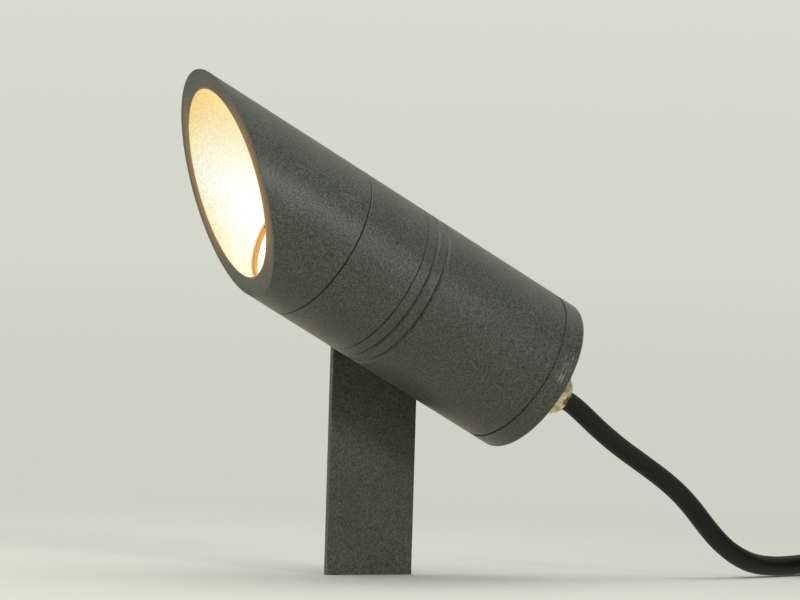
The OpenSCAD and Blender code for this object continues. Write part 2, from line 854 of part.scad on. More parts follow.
module block_screw() {
    color("#c9a14a")
        on_head()
            translate([0, block_h - tray_drop - block_screw_sink, (block_back + block_front) / 2])
                rotate([90, 0, 0])
                    socket_screw(m3_r - thread_fit, block_h - block_screw_sink + tray_t, m3_head_r, m3_head_h,
                        m3_socket_af);
}

module driver_leads() {
    for (side = [-1, 1])
        color(side > 0 ? "#6b4226" : "#1f4fa0")
            on_head()
                translate([side * pole_pitch, -tray_drop + block_h / 2, block_front])
                    cylinder(d = lead_d, h = driver_back - block_front);
}

// The three cores run from the stripped cord through the cap's hollow to the terminal block
module mains_cores() {
    colours = ["#6b4226", "#7fa23a", "#1f4fa0"];
    for (i = [0 : 2]) {
        from = [core_ring_r * cos(210 + 120 * i), core_ring_r * sin(210 + 120 * i) - gland_drop];
        to = [(i == 0 ? -1 : i == 1 ? 1 : 0) * pole_pitch, block_h / 2 - tray_drop + (i == 2 ? 4 : 0)];
        span = block_back + core_start;
        steps = 10;
        path = [
            for (k = [0 : steps])
                let (t = k / steps, u = min(1, max(0, (k - 1) / (steps - 2))), ease = u * u * (3 - 2 * u))
                head_point([from[0] + (to[0] - from[0]) * ease, from[1] + (to[1] - from[1]) * ease,
                    t * span - core_start])
        ];
        color(colours[i])
            sweep(path, core_r, 6);
    }
}

module cap_screws() {
    color("#b9b9b6")
        on_head()
            round_cap_screws()
                translate([0, 0, m4_head_h + cap_screw_sink - cap_len])
                    socket_screw(m4_r - thread_fit, cap_screw_len, m4_head_r, m4_head_h, m4_socket_af);
}

// Gland pieces are drawn backward from the cap's rear face
module on_gland() {
    on_head()
        translate([0, -gland_drop, -cap_len])
            mirror([0, 0, 1])
                children();
}

module gland_washer() {
    color("#1c1c1c")
        on_gland()
            ring(gland_af / 2, gland_thread_d / 2 + pocket_gap, 0, gland_washer_t);
}

module gland_body() {
    color("#c8b98c")
        on_gland()
            difference() {
                union() {
                    translate([0, 0, gland_washer_t])
                        hexagon(gland_af, gland_hex_t);
                    translate([0, 0, -cap_floor])
                        cylinder(r = gland_thread_d / 2 - thread_fit, h = cap_floor + gland_washer_t);
                    translate([0, 0, gland_out])
                        cylinder(r = gland_sleeve_r, h = gland_sleeve_end - gland_out);
                }
                translate([0, 0, -cap_floor - 1])
                    cylinder(r = gland_bore_r, h = cap_floor + gland_sleeve_end + 2);
                translate([0, 0, insert_start])
                    cylinder(r = insert_r + thread_fit, h = gland_sleeve_end);
            }
}

module gland_insert() {
    color("#222222")
        on_gland()
            ring(insert_r, cord_d / 2 + thread_fit, insert_start, insert_end);
}

module gland_dome_nut() {
    corner_r = gland_af / 2 / cos(30);
    color("#c8b98c")
        on_gland()
            difference() {
                intersection() {
                    translate([0, 0, nut_start])
                        hexagon(gland_af, nut_end - nut_start);
                    rotate_extrude()
                        polygon([
                            [0, nut_start], [corner_r - 0.8, nut_start], [corner_r, nut_start + 0.5],
                            [corner_r, nut_end - dome_len - 1.2], [gland_af / 2, nut_end - dome_len],
                            [(gland_af * 0.62 + dome_end_d * 0.38) / 2, nut_end - dome_len * 0.35],
                            [dome_end_d / 2, nut_end], [0, nut_end]
                        ]);
                }
                translate([0, 0, nut_start - 1])
                    cylinder(r = gland_sleeve_r + thread_fit, h = gland_sleeve_end - nut_start + 1.1);
                translate([0, 0, nut_start])
                    cylinder(r = insert_r + pocket_gap, h = insert_end - nut_start + 0.1);
                translate([0, 0, nut_start])
                    cylinder(r = cord_d / 2 + thread_fit, h = nut_end - nut_start + 1);
            }
}

module cord_tail() {
    color("#1a1a1a")
        on_gland()
            translate([0, 0, core_start - cap_len])
                cylinder(d = cord_d, h = cord_exit - core_start, $fn = 48);
}

// Pivot pieces are drawn along X from the stake's middle plane
module washer(r_out, r_in, from, t) {
    translate([from, 0, pivot_h])
        rotate([0, 90, 0])
            difference() {
                cylinder(r = r_out, h = t);
                translate([0, 0, -1])
                    cylinder(r = r_in, h = t + 2);
            }
}

module friction_washer() {
    color("#2b2b2b")
        washer(pivot_pad_r, pivot_r + screw_clear, stake_t / 2, friction_washer_t);
}

module flat_washer() {
    color("#b9b9b6")
        washer(pivot_screw_d * 1.1, pivot_r + screw_clear, -stake_t / 2 - flat_washer_t, flat_washer_t);
}

module spring_washer() {
    slit = 1.2;
    color("#b9b9b6")
        difference() {
            washer(pivot_head_r, pivot_r + screw_clear, washers_x, spring_washer_t);
            translate([washers_x - 1, -slit / 2, pivot_h])
                cube([spring_washer_t + 2, slit, pivot_screw_d * 2]);
        }
}

module pivot_screw() {
    shank = stake_t / 2 - washers_x + friction_washer_t + pivot_thread_len;
    color("#b9b9b6")
        translate([washers_x, 0, pivot_h])
            rotate([0, 90, 0])
                difference() {
                    union() {
                        cylinder(r = pivot_r - thread_fit, h = shank);
                        translate([0, 0, -pivot_head_h])
                            cylinder(r = pivot_head_r, h = pivot_head_h);
                    }
                    translate([0, 0, -pivot_head_h - 1])
                        hexagon(pivot_screw_d * 5 / 6, pivot_head_h / 2 + 1);
                }
}

module ground_stake() {
    color("#2f2f2c")
        translate([-stake_t / 2, 0, 0])
            rotate([90, 0, 90])
                linear_extrude(stake_t)
                    difference() {
                        union() {
                            polygon([
                                [-stake_w / 2, stake_point_len - stake_depth],
                                [-stake_tip_w / 2, -stake_depth],
                                [stake_tip_w / 2, -stake_depth], [stake_w / 2, stake_point_len - stake_depth],
                                [stake_w / 2, pivot_h], [-stake_w / 2, pivot_h]
                            ]);
                            translate([0, pivot_h])
                                circle(d = stake_w);
                        }
                        translate([0, pivot_h])
                            circle(r = pivot_r - thread_fit + pivot_fit);
                    }
}

module supply_cord() {
    color("#1a1a1a")
        sweep(supply_path, cord_d / 2, 10);
}

module cord_coil() {
    color("#1a1a1a")
        sweep(coil_path, cord_d / 2, 6);
}

// A flat band round the turns on the coil's far side
module coil_tie() {
    clear = 0.5;
    floor_clear = 0.1;
    turn_radii = [for (turn = [0.25 : 1 : coil_turns]) coil_r(turn)];
    in_r = min(turn_radii) - cord_d / 2 - clear;
    out_r = max(turn_radii) + cord_d / 2 + clear;
    low = coil_low_z - cord_d / 2 - floor_clear;
    high = coil_low_z + (coil_layers - 1) * coil_pitch + cord_d / 2 + clear;
    color("#303030")
        translate([coil_x - tie_w / 2, coil_y, 0])
            difference() {
                translate([0, in_r - tie_t, low - tie_t])
                    cube([tie_w, out_r - in_r + 2 * tie_t, high - low + 2 * tie_t]);
                translate([-1, in_r, low])
                    cube([tie_w + 2, out_r - in_r, high - low]);
            }
}

module plug_lead() {
    color("#1a1a1a")
        sweep(lead_path, cord_d / 2, 10);
}

// The plug lies on its side on the coil with its pins to +Y
module on_plug() {
    translate(plug_place)
        rotate([-90, 0, 0])
            children();
}

module plug_body() {
    color("#1f1f1f")
        on_plug()
            difference() {
                rotate_extrude()
                    polygon([
                        [0, 0], [cord_d / 2 + 1.2, 0], [cord_d / 2 + 3.2, plug_sleeve_len - 2],
                        [plug_d * 0.32, plug_sleeve_len + 2], [plug_d * 0.42, plug_sleeve_len + 8],
                        [plug_d / 2 - 0.8, plug_sleeve_len + 14], [plug_d / 2, plug_sleeve_len + 17],
                        [plug_d / 2, plug_face - 1], [plug_d / 2 - 1, plug_face], [0, plug_face]
                    ]);
                translate([0, 0, plug_face - plug_insert_t])
                    cylinder(d = plug_insert_d, h = plug_insert_t + 1);
            }
}

module plug_insert() {
    color("#2a2a2a")
        on_plug()
            difference() {
                translate([0, 0, plug_face - plug_insert_t])
                    cylinder(d = plug_insert_d - 2 * pocket_gap, h = plug_insert_t);
                for (side = [-1, 1])
                    translate([side * pin_pitch / 2, 0, plug_face - plug_insert_t - 1])
                        cylinder(r = pin_root_d / 2 + thread_fit, h = plug_insert_t + 2);
            }
}

module plug_pins() {
    for (side = [-1, 1])
        color("#c9c9c6")
            on_plug()
                translate([side * pin_pitch / 2, 0, plug_face - plug_insert_t]) {
                    cylinder(d = pin_root_d, h = plug_insert_t);
                    cylinder(d = pin_d, h = plug_insert_t + pin_len - pin_d / 2);
                    translate([0, 0, plug_insert_t + pin_len - pin_d / 2])
                        sphere(d = pin_d, $fn = 48);
                }
}

module plug_earth_contacts() {
    contact_w = 4;
    contact_t = 0.6;
    contact_start = plug_sleeve_len + 18;
    contact_len = plug_face - 2 - contact_start;
    for (side = [-1, 1])
        color("#c9c9c6")
            on_plug()
                translate([-contact_w / 2, side * (plug_d / 2 + contact_t / 2) - contact_t / 2,
                    contact_start])
                    cube([contact_w, contact_t, contact_len]);
}

main_housing();
heat_sink();
rear_cap();
glare_hood();
hood_grub_screw();
hood_o_ring();
housing_o_ring();
cap_o_ring();
glass_rear_gasket();
front_glass();
glass_front_gasket();
glass_ring();
reflector();
heat_pad();
led_board();
led_emitter();
led_holder();
holder_screws();
led_leads();
driver_tray();
tray_screws();
led_driver();
driver_strap();
terminal_block();
block_screw();
driver_leads();
mains_cores();
cap_screws();
gland_washer();
gland_body();
gland_insert();
gland_dome_nut();
cord_tail();
friction_washer();
flat_washer();
spring_washer();
pivot_screw();
ground_stake();
supply_cord();
cord_coil();
coil_tie();
plug_lead();
plug_body();
plug_insert();
plug_pins();
plug_earth_contacts();
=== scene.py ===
import bpy
import bmesh
import json
import math
from mathutils import Matrix, Vector


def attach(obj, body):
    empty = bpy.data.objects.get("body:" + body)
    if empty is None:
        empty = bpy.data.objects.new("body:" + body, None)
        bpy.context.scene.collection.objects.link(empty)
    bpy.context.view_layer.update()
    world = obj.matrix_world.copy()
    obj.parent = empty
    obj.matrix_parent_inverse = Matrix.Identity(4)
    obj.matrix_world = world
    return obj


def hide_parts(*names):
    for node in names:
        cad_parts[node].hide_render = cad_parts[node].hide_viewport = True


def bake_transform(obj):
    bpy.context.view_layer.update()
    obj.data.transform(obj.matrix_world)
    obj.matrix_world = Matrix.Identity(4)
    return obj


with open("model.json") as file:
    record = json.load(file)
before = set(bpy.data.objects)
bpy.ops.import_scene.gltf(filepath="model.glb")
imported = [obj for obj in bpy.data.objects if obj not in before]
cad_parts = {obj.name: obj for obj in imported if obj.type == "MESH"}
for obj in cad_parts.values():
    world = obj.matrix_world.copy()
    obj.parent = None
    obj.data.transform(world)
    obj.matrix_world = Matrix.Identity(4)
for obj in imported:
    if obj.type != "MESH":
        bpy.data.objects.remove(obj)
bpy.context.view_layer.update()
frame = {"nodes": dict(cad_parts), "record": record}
slotOf = {part["node"]: part["material_slot"] for part in frame["record"]["subparts"]}
mm = 0.001

# The camera stands at the photograph's place, 2.5 m from the head, with a long lens
cameraLook = {"place": (2.21865, -1.17118, 0.16444), "turn": (88.879, -1.681, 61.972), "lens": 269.78,
              "sensor": 36, "clip": 0.05}


def addCamera():
    bpy.ops.object.camera_add(location=cameraLook["place"])
    camera = bpy.context.object
    camera.name = "mainCamera"
    camera.rotation_euler = [math.radians(a) for a in cameraLook["turn"]]
    camera.data.lens = cameraLook["lens"]
    camera.data.sensor_width = cameraLook["sensor"]
    camera.data.clip_start = cameraLook["clip"]
    bpy.context.scene.camera = camera


# The head is drawn along its own axis, z forward from the rear seam, and then set on the pivot
headTurn = math.radians(62)
pivotPoint = (0.036, 0, 0.115)
pivotPlace = 53
headPlace = (Matrix.Translation(pivotPoint) @ Matrix.Rotation(headTurn, 4, "X")
             @ Matrix.Translation((0, 0, -pivotPlace * mm)))


def onlyThis(piece):
    if bpy.context.object and bpy.context.object.mode != "OBJECT":
        bpy.ops.object.mode_set(mode="OBJECT")
    bpy.ops.object.select_all(action="DESELECT")
    if piece is not None:
        piece.select_set(True)
        bpy.context.view_layer.objects.active = piece


def fixPlace(piece, place=None):
    onlyThis(piece)
    if place is not None:
        piece.matrix_world = place @ piece.matrix_world
    bpy.ops.object.transform_apply(location=True, rotation=True, scale=True)


def applyAll(piece):
    onlyThis(piece)
    for modifier in list(piece.modifiers):
        bpy.ops.object.modifier_apply(modifier=modifier.name)


turning = {"leastRadius": 0.01, "weld": 0.02}


# Draws a round piece loop by loop, in millimetres: each point is a radius and a place along z
def turnPiece(name, outline, sides=96, closed=True):
    onlyThis(None)
    outline = [(max(radius, turning["leastRadius"]), place) for radius, place in outline]
    radius, place = outline[0]
    bpy.ops.mesh.primitive_circle_add(vertices=sides, radius=radius * mm, location=(0, 0, place * mm))
    piece = bpy.context.object
    piece.name = name
    bpy.ops.object.transform_apply(location=True, rotation=True, scale=True)
    bpy.ops.object.mode_set(mode="EDIT")
    bpy.ops.mesh.select_all(action="SELECT")
    for nextRadius, nextPlace in outline[1:] + ([outline[0]] if closed else []):
        bpy.ops.mesh.extrude_edges_move(TRANSFORM_OT_translate={"value": (0, 0, (nextPlace - place) * mm)})
        scale = nextRadius / radius
        bpy.ops.transform.resize(value=(scale, scale, 1), center_override=(0, 0, nextPlace * mm))
        radius, place = nextRadius, nextPlace
    bpy.ops.mesh.select_all(action="SELECT")
    bpy.ops.mesh.remove_doubles(threshold=turning["weld"] * mm)
    bpy.ops.mesh.normals_make_consistent(inside=False)
    bpy.ops.object.mode_set(mode="OBJECT")
    return piece


# Cuts a piece with a second one, adds it or keeps what they share, and uses the second one up
def combine(piece, tool, how="DIFFERENCE"):
    onlyThis(piece)
    step = piece.modifiers.new("combine", "BOOLEAN")
    step.operation = how
    step.solver = "EXACT"
    step.object = tool
    bpy.ops.object.modifier_apply(modifier=step.name)
    mesh = tool.data
    bpy.data.objects.remove(tool)
    bpy.data.meshes.remove(mesh)


def addRod(radius, length, centre, sides=48, turn=(0, 0, 0)):
    onlyThis(None)
    bpy.ops.mesh.primitive_cylinder_add(vertices=sides, radius=radius * mm, depth=length * mm,
                                        location=[c * mm for c in centre],
                                        rotation=[math.radians(t) for t in turn])
    rod = bpy.context.object
    bpy.ops.object.transform_apply(location=True, rotation=True, scale=True)
    return rod


def addBlock(size, centre, turn=0):
    onlyThis(None)
    bpy.ops.mesh.primitive_cube_add(size=1, location=[c * mm for c in centre])
    block = bpy.context.object
    block.scale = [s * mm for s in size]
    block.rotation_euler = (0, 0, math.radians(turn))
    bpy.ops.object.transform_apply(location=True, rotation=True, scale=True)
    return block


# A place on a circle round the axis
def onCircle(radius, turn):
    return radius * math.cos(math.radians(turn)), radius * math.sin(math.radians(turn))


def hexCorner(flats):
    return flats / 2 / math.cos(math.radians(30))


# The outline of a turned groove
def groove(outer, floor, start, end):
    return [(outer, start), (floor, start), (floor, end), (outer, end)]


def softenEdges(piece, width, segments, angle=30):
    step = piece.modifiers.new("edges", "BEVEL")
    step.width = width * mm
    step.segments = segments
    step.limit_method = "ANGLE"
    step.angle_limit = math.radians(angle)
    step.harden_normals = False
    step.miter_outer = "MITER_ARC"
    applyAll(piece)


# Large flat faces keep their own direction, so that soft edges don't shade into them
def smoothShade(piece, angle):
    onlyThis(piece)
    bpy.ops.object.shade_smooth_by_angle(angle=math.radians(angle))
    step = piece.modifiers.new("normals", "WEIGHTED_NORMAL")
    step.keep_sharp = True
    applyAll(piece)


def finishPiece(piece, body, node, place=None, width=0.15, segments=2, angle=35, material=None):
    if width:
        softenEdges(piece, width, segments)
    fixPlace(piece, place)
    smoothShade(piece, angle)
    slot = slotOf[node]
    piece.data.materials.clear()
    piece.data.materials.append(material or materials[slot])
    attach(piece, body)
    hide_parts(node)
    return piece


# Finishes
def startMaterial(name):
    material = bpy.data.materials.new(name)
    material.use_nodes = True
    return material, material.node_tree, material.node_tree.nodes["Principled BSDF"]


# A variant of a finish that is made already
def copyFinish(slot, name):
    material = materials[slot].copy()
    material.name = name
    return material, material.node_tree, material.node_tree.nodes["Principled BSDF"]


# Links outputs to the inputs of a node, or writes plain values and colours there
def feed(tree, node, values):
    for name, value in values.items():
        if isinstance(value, bpy.types.NodeSocket):
            tree.links.new(value, node.inputs[name])
        elif isinstance(value, tuple):
            node.inputs[name].default_value = (*value, 1)
        elif value is not None:
            node.inputs[name].default_value = value


def places(tree):
    return tree.nodes.new("ShaderNodeTexCoord").outputs["Object"]


def grain(tree, scale, detail=2.0, vector=None):
    noise = tree.nodes.new("ShaderNodeTexNoise")
    feed(tree, noise, {"Scale": scale, "Detail": detail, "Vector": vector or places(tree)})
    return noise.outputs["Fac"]


def spread(tree, source, low, high, outLow, outHigh):
    step = tree.nodes.new("ShaderNodeMapRange")
    feed(tree, step, {"Value": source, "From Min": low, "From Max": high, "To Min": outLow,
                      "To Max": outHigh})
    return step.outputs["Result"]


# The same with its two ends in millimetres
def spreadOver(tree, source, ends, outLow=0, outHigh=1):
    return spread(tree, source, ends[0] * mm, ends[1] * mm, outLow, outHigh)


def flecks(tree, scale, values=(0, 1), span=(0.35, 0.65), detail=2.0):
    return spread(tree, grain(tree, scale, detail), *span, *values)


def blendColours(tree, amount, first, second):
    mix = tree.nodes.new("ShaderNodeMix")
    mix.data_type = "RGBA"
    feed(tree, mix, {0: amount, 6: first, 7: second})
    return mix.outputs[2]


def scaleColour(tree, colour, amount):
    step = tree.nodes.new("ShaderNodeVectorMath")
    step.operation = "SCALE"
    feed(tree, step, {0: colour, "Scale": amount})
    return step.outputs[0]


def addBump(tree, shader, height, strength, distance):
    bump = tree.nodes.new("ShaderNodeBump")
    feed(tree, bump, {"Strength": strength, "Distance": distance * mm, "Height": height})
    feed(tree, shader, {"Normal": bump.outputs["Normal"]})


# A colour that wanders between two tones, with a fine grain in roughness and bump
def grainedFinish(name, look):
    material, tree, shader = startMaterial(name)
    fine = grain(tree, look["grainScale"], 3)
    cloud = grain(tree, look.get("cloudScale", 60), 2)
    span = look.get("span", (0.3, 0.7))
    colour = blendColours(tree, spread(tree, fine, *span, 0, 1), look["dark"], look["light"])
    depth = look.get("cloud", 0.08)
    shade = spread(tree, cloud, 0.3, 0.7, 1 - depth, 1 + depth)
    feed(tree, shader, {"Base Color": scaleColour(tree, colour, shade),
                        "Roughness": spread(tree, fine, 0.3, 0.7, *look["roughness"]),
                        "Metallic": look.get("metallic", 0),
                        "Specular IOR Level": look.get("specular", 0.5)})
    if look.get("glow"):
        feed(tree, shader, {"Emission Color": look["glow"][0], "Emission Strength": look["glow"][1]})
    addBump(tree, shader, fine, look.get("bump", 0.2), look.get("bumpHeight", 0.05))
    return material


finishes = {
    "powder_coated_aluminium": {
        "dark": (0.015, 0.017, 0.0125), "light": (0.076, 0.083, 0.0615), "grainScale": 1350,
        "span": (0.35, 0.65), "cloudScale": 45, "cloud": 0.09, "roughness": (0.34, 0.48), "bump": 0.9,
        "bumpHeight": 0.15},
    "powder_coated_steel": {
        "dark": (0.023, 0.0235, 0.0165), "light": (0.097, 0.099, 0.07), "grainScale": 1150,
        "span": (0.35, 0.65), "cloudScale": 38, "cloud": 0.13, "roughness": (0.5, 0.66), "bump": 0.6,
        "bumpHeight": 0.14, "specular": 0.45},
    "stainless_steel": {
        "dark": (0.42, 0.42, 0.41), "light": (0.56, 0.56, 0.55), "grainScale": 900, "cloud": 0.1,
        "roughness": (0.22, 0.36), "metallic": 1, "bump": 0.08, "bumpHeight": 0.02},
    "nickel_plated_brass": {
        "dark": (0.3, 0.26, 0.16), "light": (0.72, 0.66, 0.5), "grainScale": 420, "cloudScale": 150,
        "cloud": 0.16, "roughness": (0.14, 0.28), "metallic": 1, "bump": 0.12, "bumpHeight": 0.05},
    "black_rubber": {
        "dark": (0.012, 0.012, 0.011), "light": (0.024, 0.024, 0.022), "grainScale": 1200,
        "roughness": (0.6, 0.78), "bump": 0.25},
    "white_silicone": {
        "dark": (0.6, 0.6, 0.57), "light": (0.72, 0.72, 0.69), "grainScale": 1100,
        "roughness": (0.45, 0.6), "bump": 0.12},
    "bright_aluminium": {
        "dark": (0.74, 0.74, 0.75), "light": (0.86, 0.86, 0.87), "grainScale": 520,
        "roughness": (0.16, 0.28), "metallic": 1, "bump": 0.06, "bumpHeight": 0.02},
    "heat_pad_grey": {
        "dark": (0.28, 0.3, 0.32), "light": (0.36, 0.38, 0.4), "grainScale": 1300,
        "roughness": (0.7, 0.85), "bump": 0.3},
    "white_ceramic": {
        "dark": (0.72, 0.72, 0.7), "light": (0.82, 0.82, 0.8), "grainScale": 1400,
        "roughness": (0.3, 0.42), "bump": 0.08},
    "phosphor_yellow": {
        "dark": (0.72, 0.5, 0.12), "light": (0.86, 0.64, 0.2), "grainScale": 1800,
        "roughness": (0.4, 0.6), "bump": 0.1, "glow": ((1, 0.78, 0.45), 6)},
    "white_plastic": {
        "dark": (0.7, 0.69, 0.65), "light": (0.8, 0.79, 0.75), "grainScale": 1000,
        "roughness": (0.34, 0.48), "bump": 0.1},
    "black_plastic": {
        "dark": (0.018, 0.018, 0.019), "light": (0.032, 0.032, 0.034), "grainScale": 1300,
        "roughness": (0.42, 0.6), "bump": 0.2},
    "wire_insulation": {
        "dark": (0.12, 0.05, 0.03), "light": (0.2, 0.09, 0.05), "grainScale": 1500,
        "roughness": (0.36, 0.5), "bump": 0.1},
    "cord_rubber": {
        "dark": (0.003, 0.003, 0.002), "light": (0.013, 0.013, 0.01), "grainScale": 1600,
        "cloudScale": 70, "cloud": 0.2, "roughness": (0.5, 0.66), "bump": 0.4, "bumpHeight": 0.08,
        "specular": 0.24},
    "plug_rubber": {
        "dark": (0.013, 0.013, 0.013), "light": (0.026, 0.026, 0.026), "grainScale": 1400,
        "cloudScale": 90, "cloud": 0.15, "roughness": (0.48, 0.66), "bump": 0.25},
    "plug_plastic": {
        "dark": (0.024, 0.024, 0.025), "light": (0.04, 0.04, 0.041), "grainScale": 1500,
        "roughness": (0.35, 0.5), "bump": 0.15},
    "plug_metal": {
        "dark": (0.6, 0.6, 0.58), "light": (0.72, 0.72, 0.7), "grainScale": 800,
        "roughness": (0.14, 0.26), "metallic": 1, "bump": 0.06, "bumpHeight": 0.02},
}

# The pane's glow is painted light: it shines evenly, as the light source behind it does
glassLook = {"tint": (0.93, 0.96, 0.94), "glow": (1.0, 0.93, 0.72), "strength": (0.893, 1.007), "ior": 1.5,
             "through": 0.6, "dustScale": 420, "roughness": (0.03, 0.12), "bump": 0.04, "bumpHeight": 0.02}


def glassFinish():
    g = glassLook
    material, tree, shader = startMaterial("clearGlass")
    dust = grain(tree, g["dustScale"], 4)
    feed(tree, shader, {"Base Color": g["tint"], "IOR": g["ior"], "Transmission Weight": g["through"],
                        "Roughness": spread(tree, dust, 0.35, 0.75, *g["roughness"]),
                        # Painted glow: the pane's emission stands in for the lamp's light coming through it
                        "Emission Color": g["glow"],
                        "Emission Strength": spread(tree, dust, 0.2, 0.8, *g["strength"])})
    addBump(tree, shader, dust, g["bump"], g["bumpHeight"])
    return material


# The lamp's light on the inside of the hood is painted on as glow: amber under the top of the rim and cream
# below, both whiter deeper in.
# Each tone belongs to a height across the bore, from -28 to 28 mm, first at the rim and then 30 mm below it
hoodGlow = {"bore": 28, "cutMiddle": 153.5, "deep": 30, "strength": 0.97, "mottle": 800,
            "flecks": (0.05, 0.17),
            "atRim": [(-28, (0.965, 0.88, 0.565)), (-14, (0.98, 0.87, 0.53)), (-5, (0.97, 0.91, 0.62)),
                      (5, (0.97, 0.95, 0.73)), (14, (0.97, 0.8, 0.4)), (21, (0.93, 0.67, 0.255)),
                      (28, (0.945, 0.615, 0.21))],
            "deepIn": [(-28, (1.0, 0.98, 0.83)), (-14, (0.99, 0.99, 0.87)), (-5, (1.0, 1.0, 0.96)),
                       (5, (1.0, 1.0, 0.99)), (14, (0.99, 0.98, 0.86)), (21, (0.945, 0.87, 0.58)),
                       (28, (0.97, 0.74, 0.34))],
            # The rim's inner edge and face get painted glow from the lamp, warmer at the sides
            "edgeGlow": (0.24, 0.12, 0.04), "edgeSideGlow": (0.8, 0.38, 0.085),
            "faceGlow": (0.02, 0.012, 0.003), "sideGlow": (0.25, 0.095, 0.004), "sides": (15, 28),
            "edgeStart": (28.05, 28.1), "edge": (28.05, 28.75), "face": 34, "rimFrom": (0.85, 0.95)}


# Places in the head's own frame, measured from the pivot's place on its axis
def headCoords(tree):
    mapping = tree.nodes.new("ShaderNodeMapping")
    mapping.vector_type = "TEXTURE"
    mapping.inputs["Location"].default_value = pivotPoint
    mapping.inputs["Rotation"].default_value = (headTurn, 0, 0)
    feed(tree, mapping, {"Vector": places(tree)})
    parts = tree.nodes.new("ShaderNodeSeparateXYZ")
    feed(tree, parts, {0: mapping.outputs["Vector"]})
    return parts.outputs


def mathStep(tree, how, first, second=None):
    step = tree.nodes.new("ShaderNodeMath")
    step.operation = how
    feed(tree, step, {0: first, 1: second})
    return step.outputs[0]


def axisDistance(tree, head):
    squares = [mathStep(tree, "MULTIPLY", head[k], head[k]) for k in (0, 1)]
    return mathStep(tree, "SQRT", mathStep(tree, "ADD", *squares))


def colourRamp(tree, amount, tones, blend="LINEAR"):
    ramp = tree.nodes.new("ShaderNodeValToRGB")
    ramp.color_ramp.interpolation = blend
    while len(ramp.color_ramp.elements) < len(tones):
        ramp.color_ramp.elements.new(0.5)
    for element, (place, tone) in zip(ramp.color_ramp.elements, tones):
        element.position = place
        element.color = (*tone, 1)
    feed(tree, ramp, {"Fac": amount})
    return ramp.outputs["Color"]


def litHoodFinish():
    g = hoodGlow
    material, tree, shader = copyFinish("powder_coated_aluminium", "litHoodCoat")
    head = headCoords(tree)
    radius = axisDistance(tree, head)
    bore = g["bore"]
    across = spreadOver(tree, head[1], (-bore, bore))
    below = mathStep(tree, "SUBTRACT", head[1], head[2])
    rim = pivotPlace - g["cutMiddle"]
    depth = spreadOver(tree, below, (rim, rim + g["deep"]), 1, 0)
    amount = mathStep(tree, "SUBTRACT", 1.0, mathStep(tree, "MULTIPLY", depth, depth))
    tones = [colourRamp(tree, across, [((place + bore) / (2 * bore), tone) for place, tone in g[k]])
             for k in ("atRim", "deepIn")]
    wall = blendColours(tree, amount, *tones)
    # Painted light on the rim: glow on its inner edge and face, warmer at the sides and fading outward
    onEdge = spreadOver(tree, radius, g["edgeStart"])
    pastEdge = spreadOver(tree, radius, g["edge"])
    fade = spreadOver(tree, radius, (g["edge"][1], g["face"]), 1, 0)
    atRim = spread(tree, depth, *g["rimFrom"], 0, 1)
    sides = spreadOver(tree, mathStep(tree, "ABSOLUTE", head[0]), g["sides"])
    face = blendColours(tree, sides, g["faceGlow"], g["sideGlow"])
    edgeGlow = blendColours(tree, sides, g["edgeGlow"], g["edgeSideGlow"])
    face = blendColours(tree, pastEdge, edgeGlow, face)
    face = blendColours(tree, mathStep(tree, "MULTIPLY", fade, atRim), (0.0, 0.0, 0.0), face)
    loss = mathStep(tree, "MULTIPLY", flecks(tree, g["mottle"]), spread(tree, depth, 0, 1, *g["flecks"]))
    feed(tree, shader, {"Emission Color": blendColours(tree, onEdge, wall, face),
                        "Emission Strength": mathStep(tree, "SUBTRACT", g["strength"], loss)})
    return material


# The cap has a few pale streaks on its near side, drawn out along its edge: rub marks, with their glint
# painted in as pale colour
def markedCapFinish():
    m = capMarks
    material, tree, shader = copyFinish("powder_coated_aluminium", "rubAndGlintCapCoat")
    head = headCoords(tree)
    drawn = tree.nodes.new("ShaderNodeCombineXYZ")
    feed(tree, drawn, {k: mathStep(tree, "MULTIPLY", head[k], m["grain"][k]) for k in range(3)})
    streak = spread(tree, grain(tree, 1, vector=drawn.outputs[0]), *m["threshold"], 0, 1)
    nearness = 0.0
    for spot in m["spots"]:
        away = tree.nodes.new("ShaderNodeVectorMath")
        away.operation = "DISTANCE"
        feed(tree, away, {0: places(tree)})
        away.inputs[1].default_value = headPlace @ Vector([c * mm for c in spot])
        near = spreadOver(tree, away.outputs["Value"], m["reach"], 1, 0)
        nearness = mathStep(tree, "MAXIMUM", nearness, near)
    # Painted highlight: pale colour where the rub marks glint
    amount = mathStep(tree, "MULTIPLY", mathStep(tree, "MULTIPLY", nearness, streak), m["strength"])
    plain = shader.inputs["Base Color"].links[0].from_socket
    feed(tree, shader, {"Base Color": blendColours(tree, amount, plain, m["tone"])})
    return material


# The glass ring has the lamp's light painted on as glow: a golden crescent, darker round its outside
def litRingFinish():
    r = ringGlow
    material, tree, shader = copyFinish("powder_coated_aluminium", "litRingCoat")
    low, high = r["tones"][0][0], r["tones"][-1][0]
    tones = [((place - low) / (high - low), tone) for place, tone in r["tones"]]
    radius = axisDistance(tree, headCoords(tree))
    fleck = flecks(tree, r["fleckScale"])
    feed(tree, shader, {"Base Color": blendColours(tree, fleck, r["dark"], r["light"]),
                        "Specular IOR Level": r["specular"],
                        "Emission Color": colourRamp(tree, spreadOver(tree, radius, (low, high)), tones),
                        "Emission Strength": flecks(tree, r["mottleScale"], r["strength"])})
    return material


# The front face of the heat sink's spigot has the lamp's light painted on as glow too
def litSpigotFinish():
    s = spigotGlow
    material, tree, shader = copyFinish("powder_coated_aluminium", "litSpigotCoat")
    ends = [place - pivotPlace for place in s["ends"]]
    glow = spreadOver(tree, headCoords(tree)[2], ends, 0, s["strength"])
    feed(tree, shader, {"Emission Color": s["tone"], "Emission Strength": glow})
    return material


capMarks = {"spots": [(33.95, -1.8, -5.1), (33.9, 2.4, -5.3), (33.4, 6.5, -5.6)], "reach": (0.4, 3.2),
            "strength": 0.6, "tone": (0.36, 0.375, 0.35), "grain": (180, 180, 1500),
            "threshold": (0.5, 0.62)}
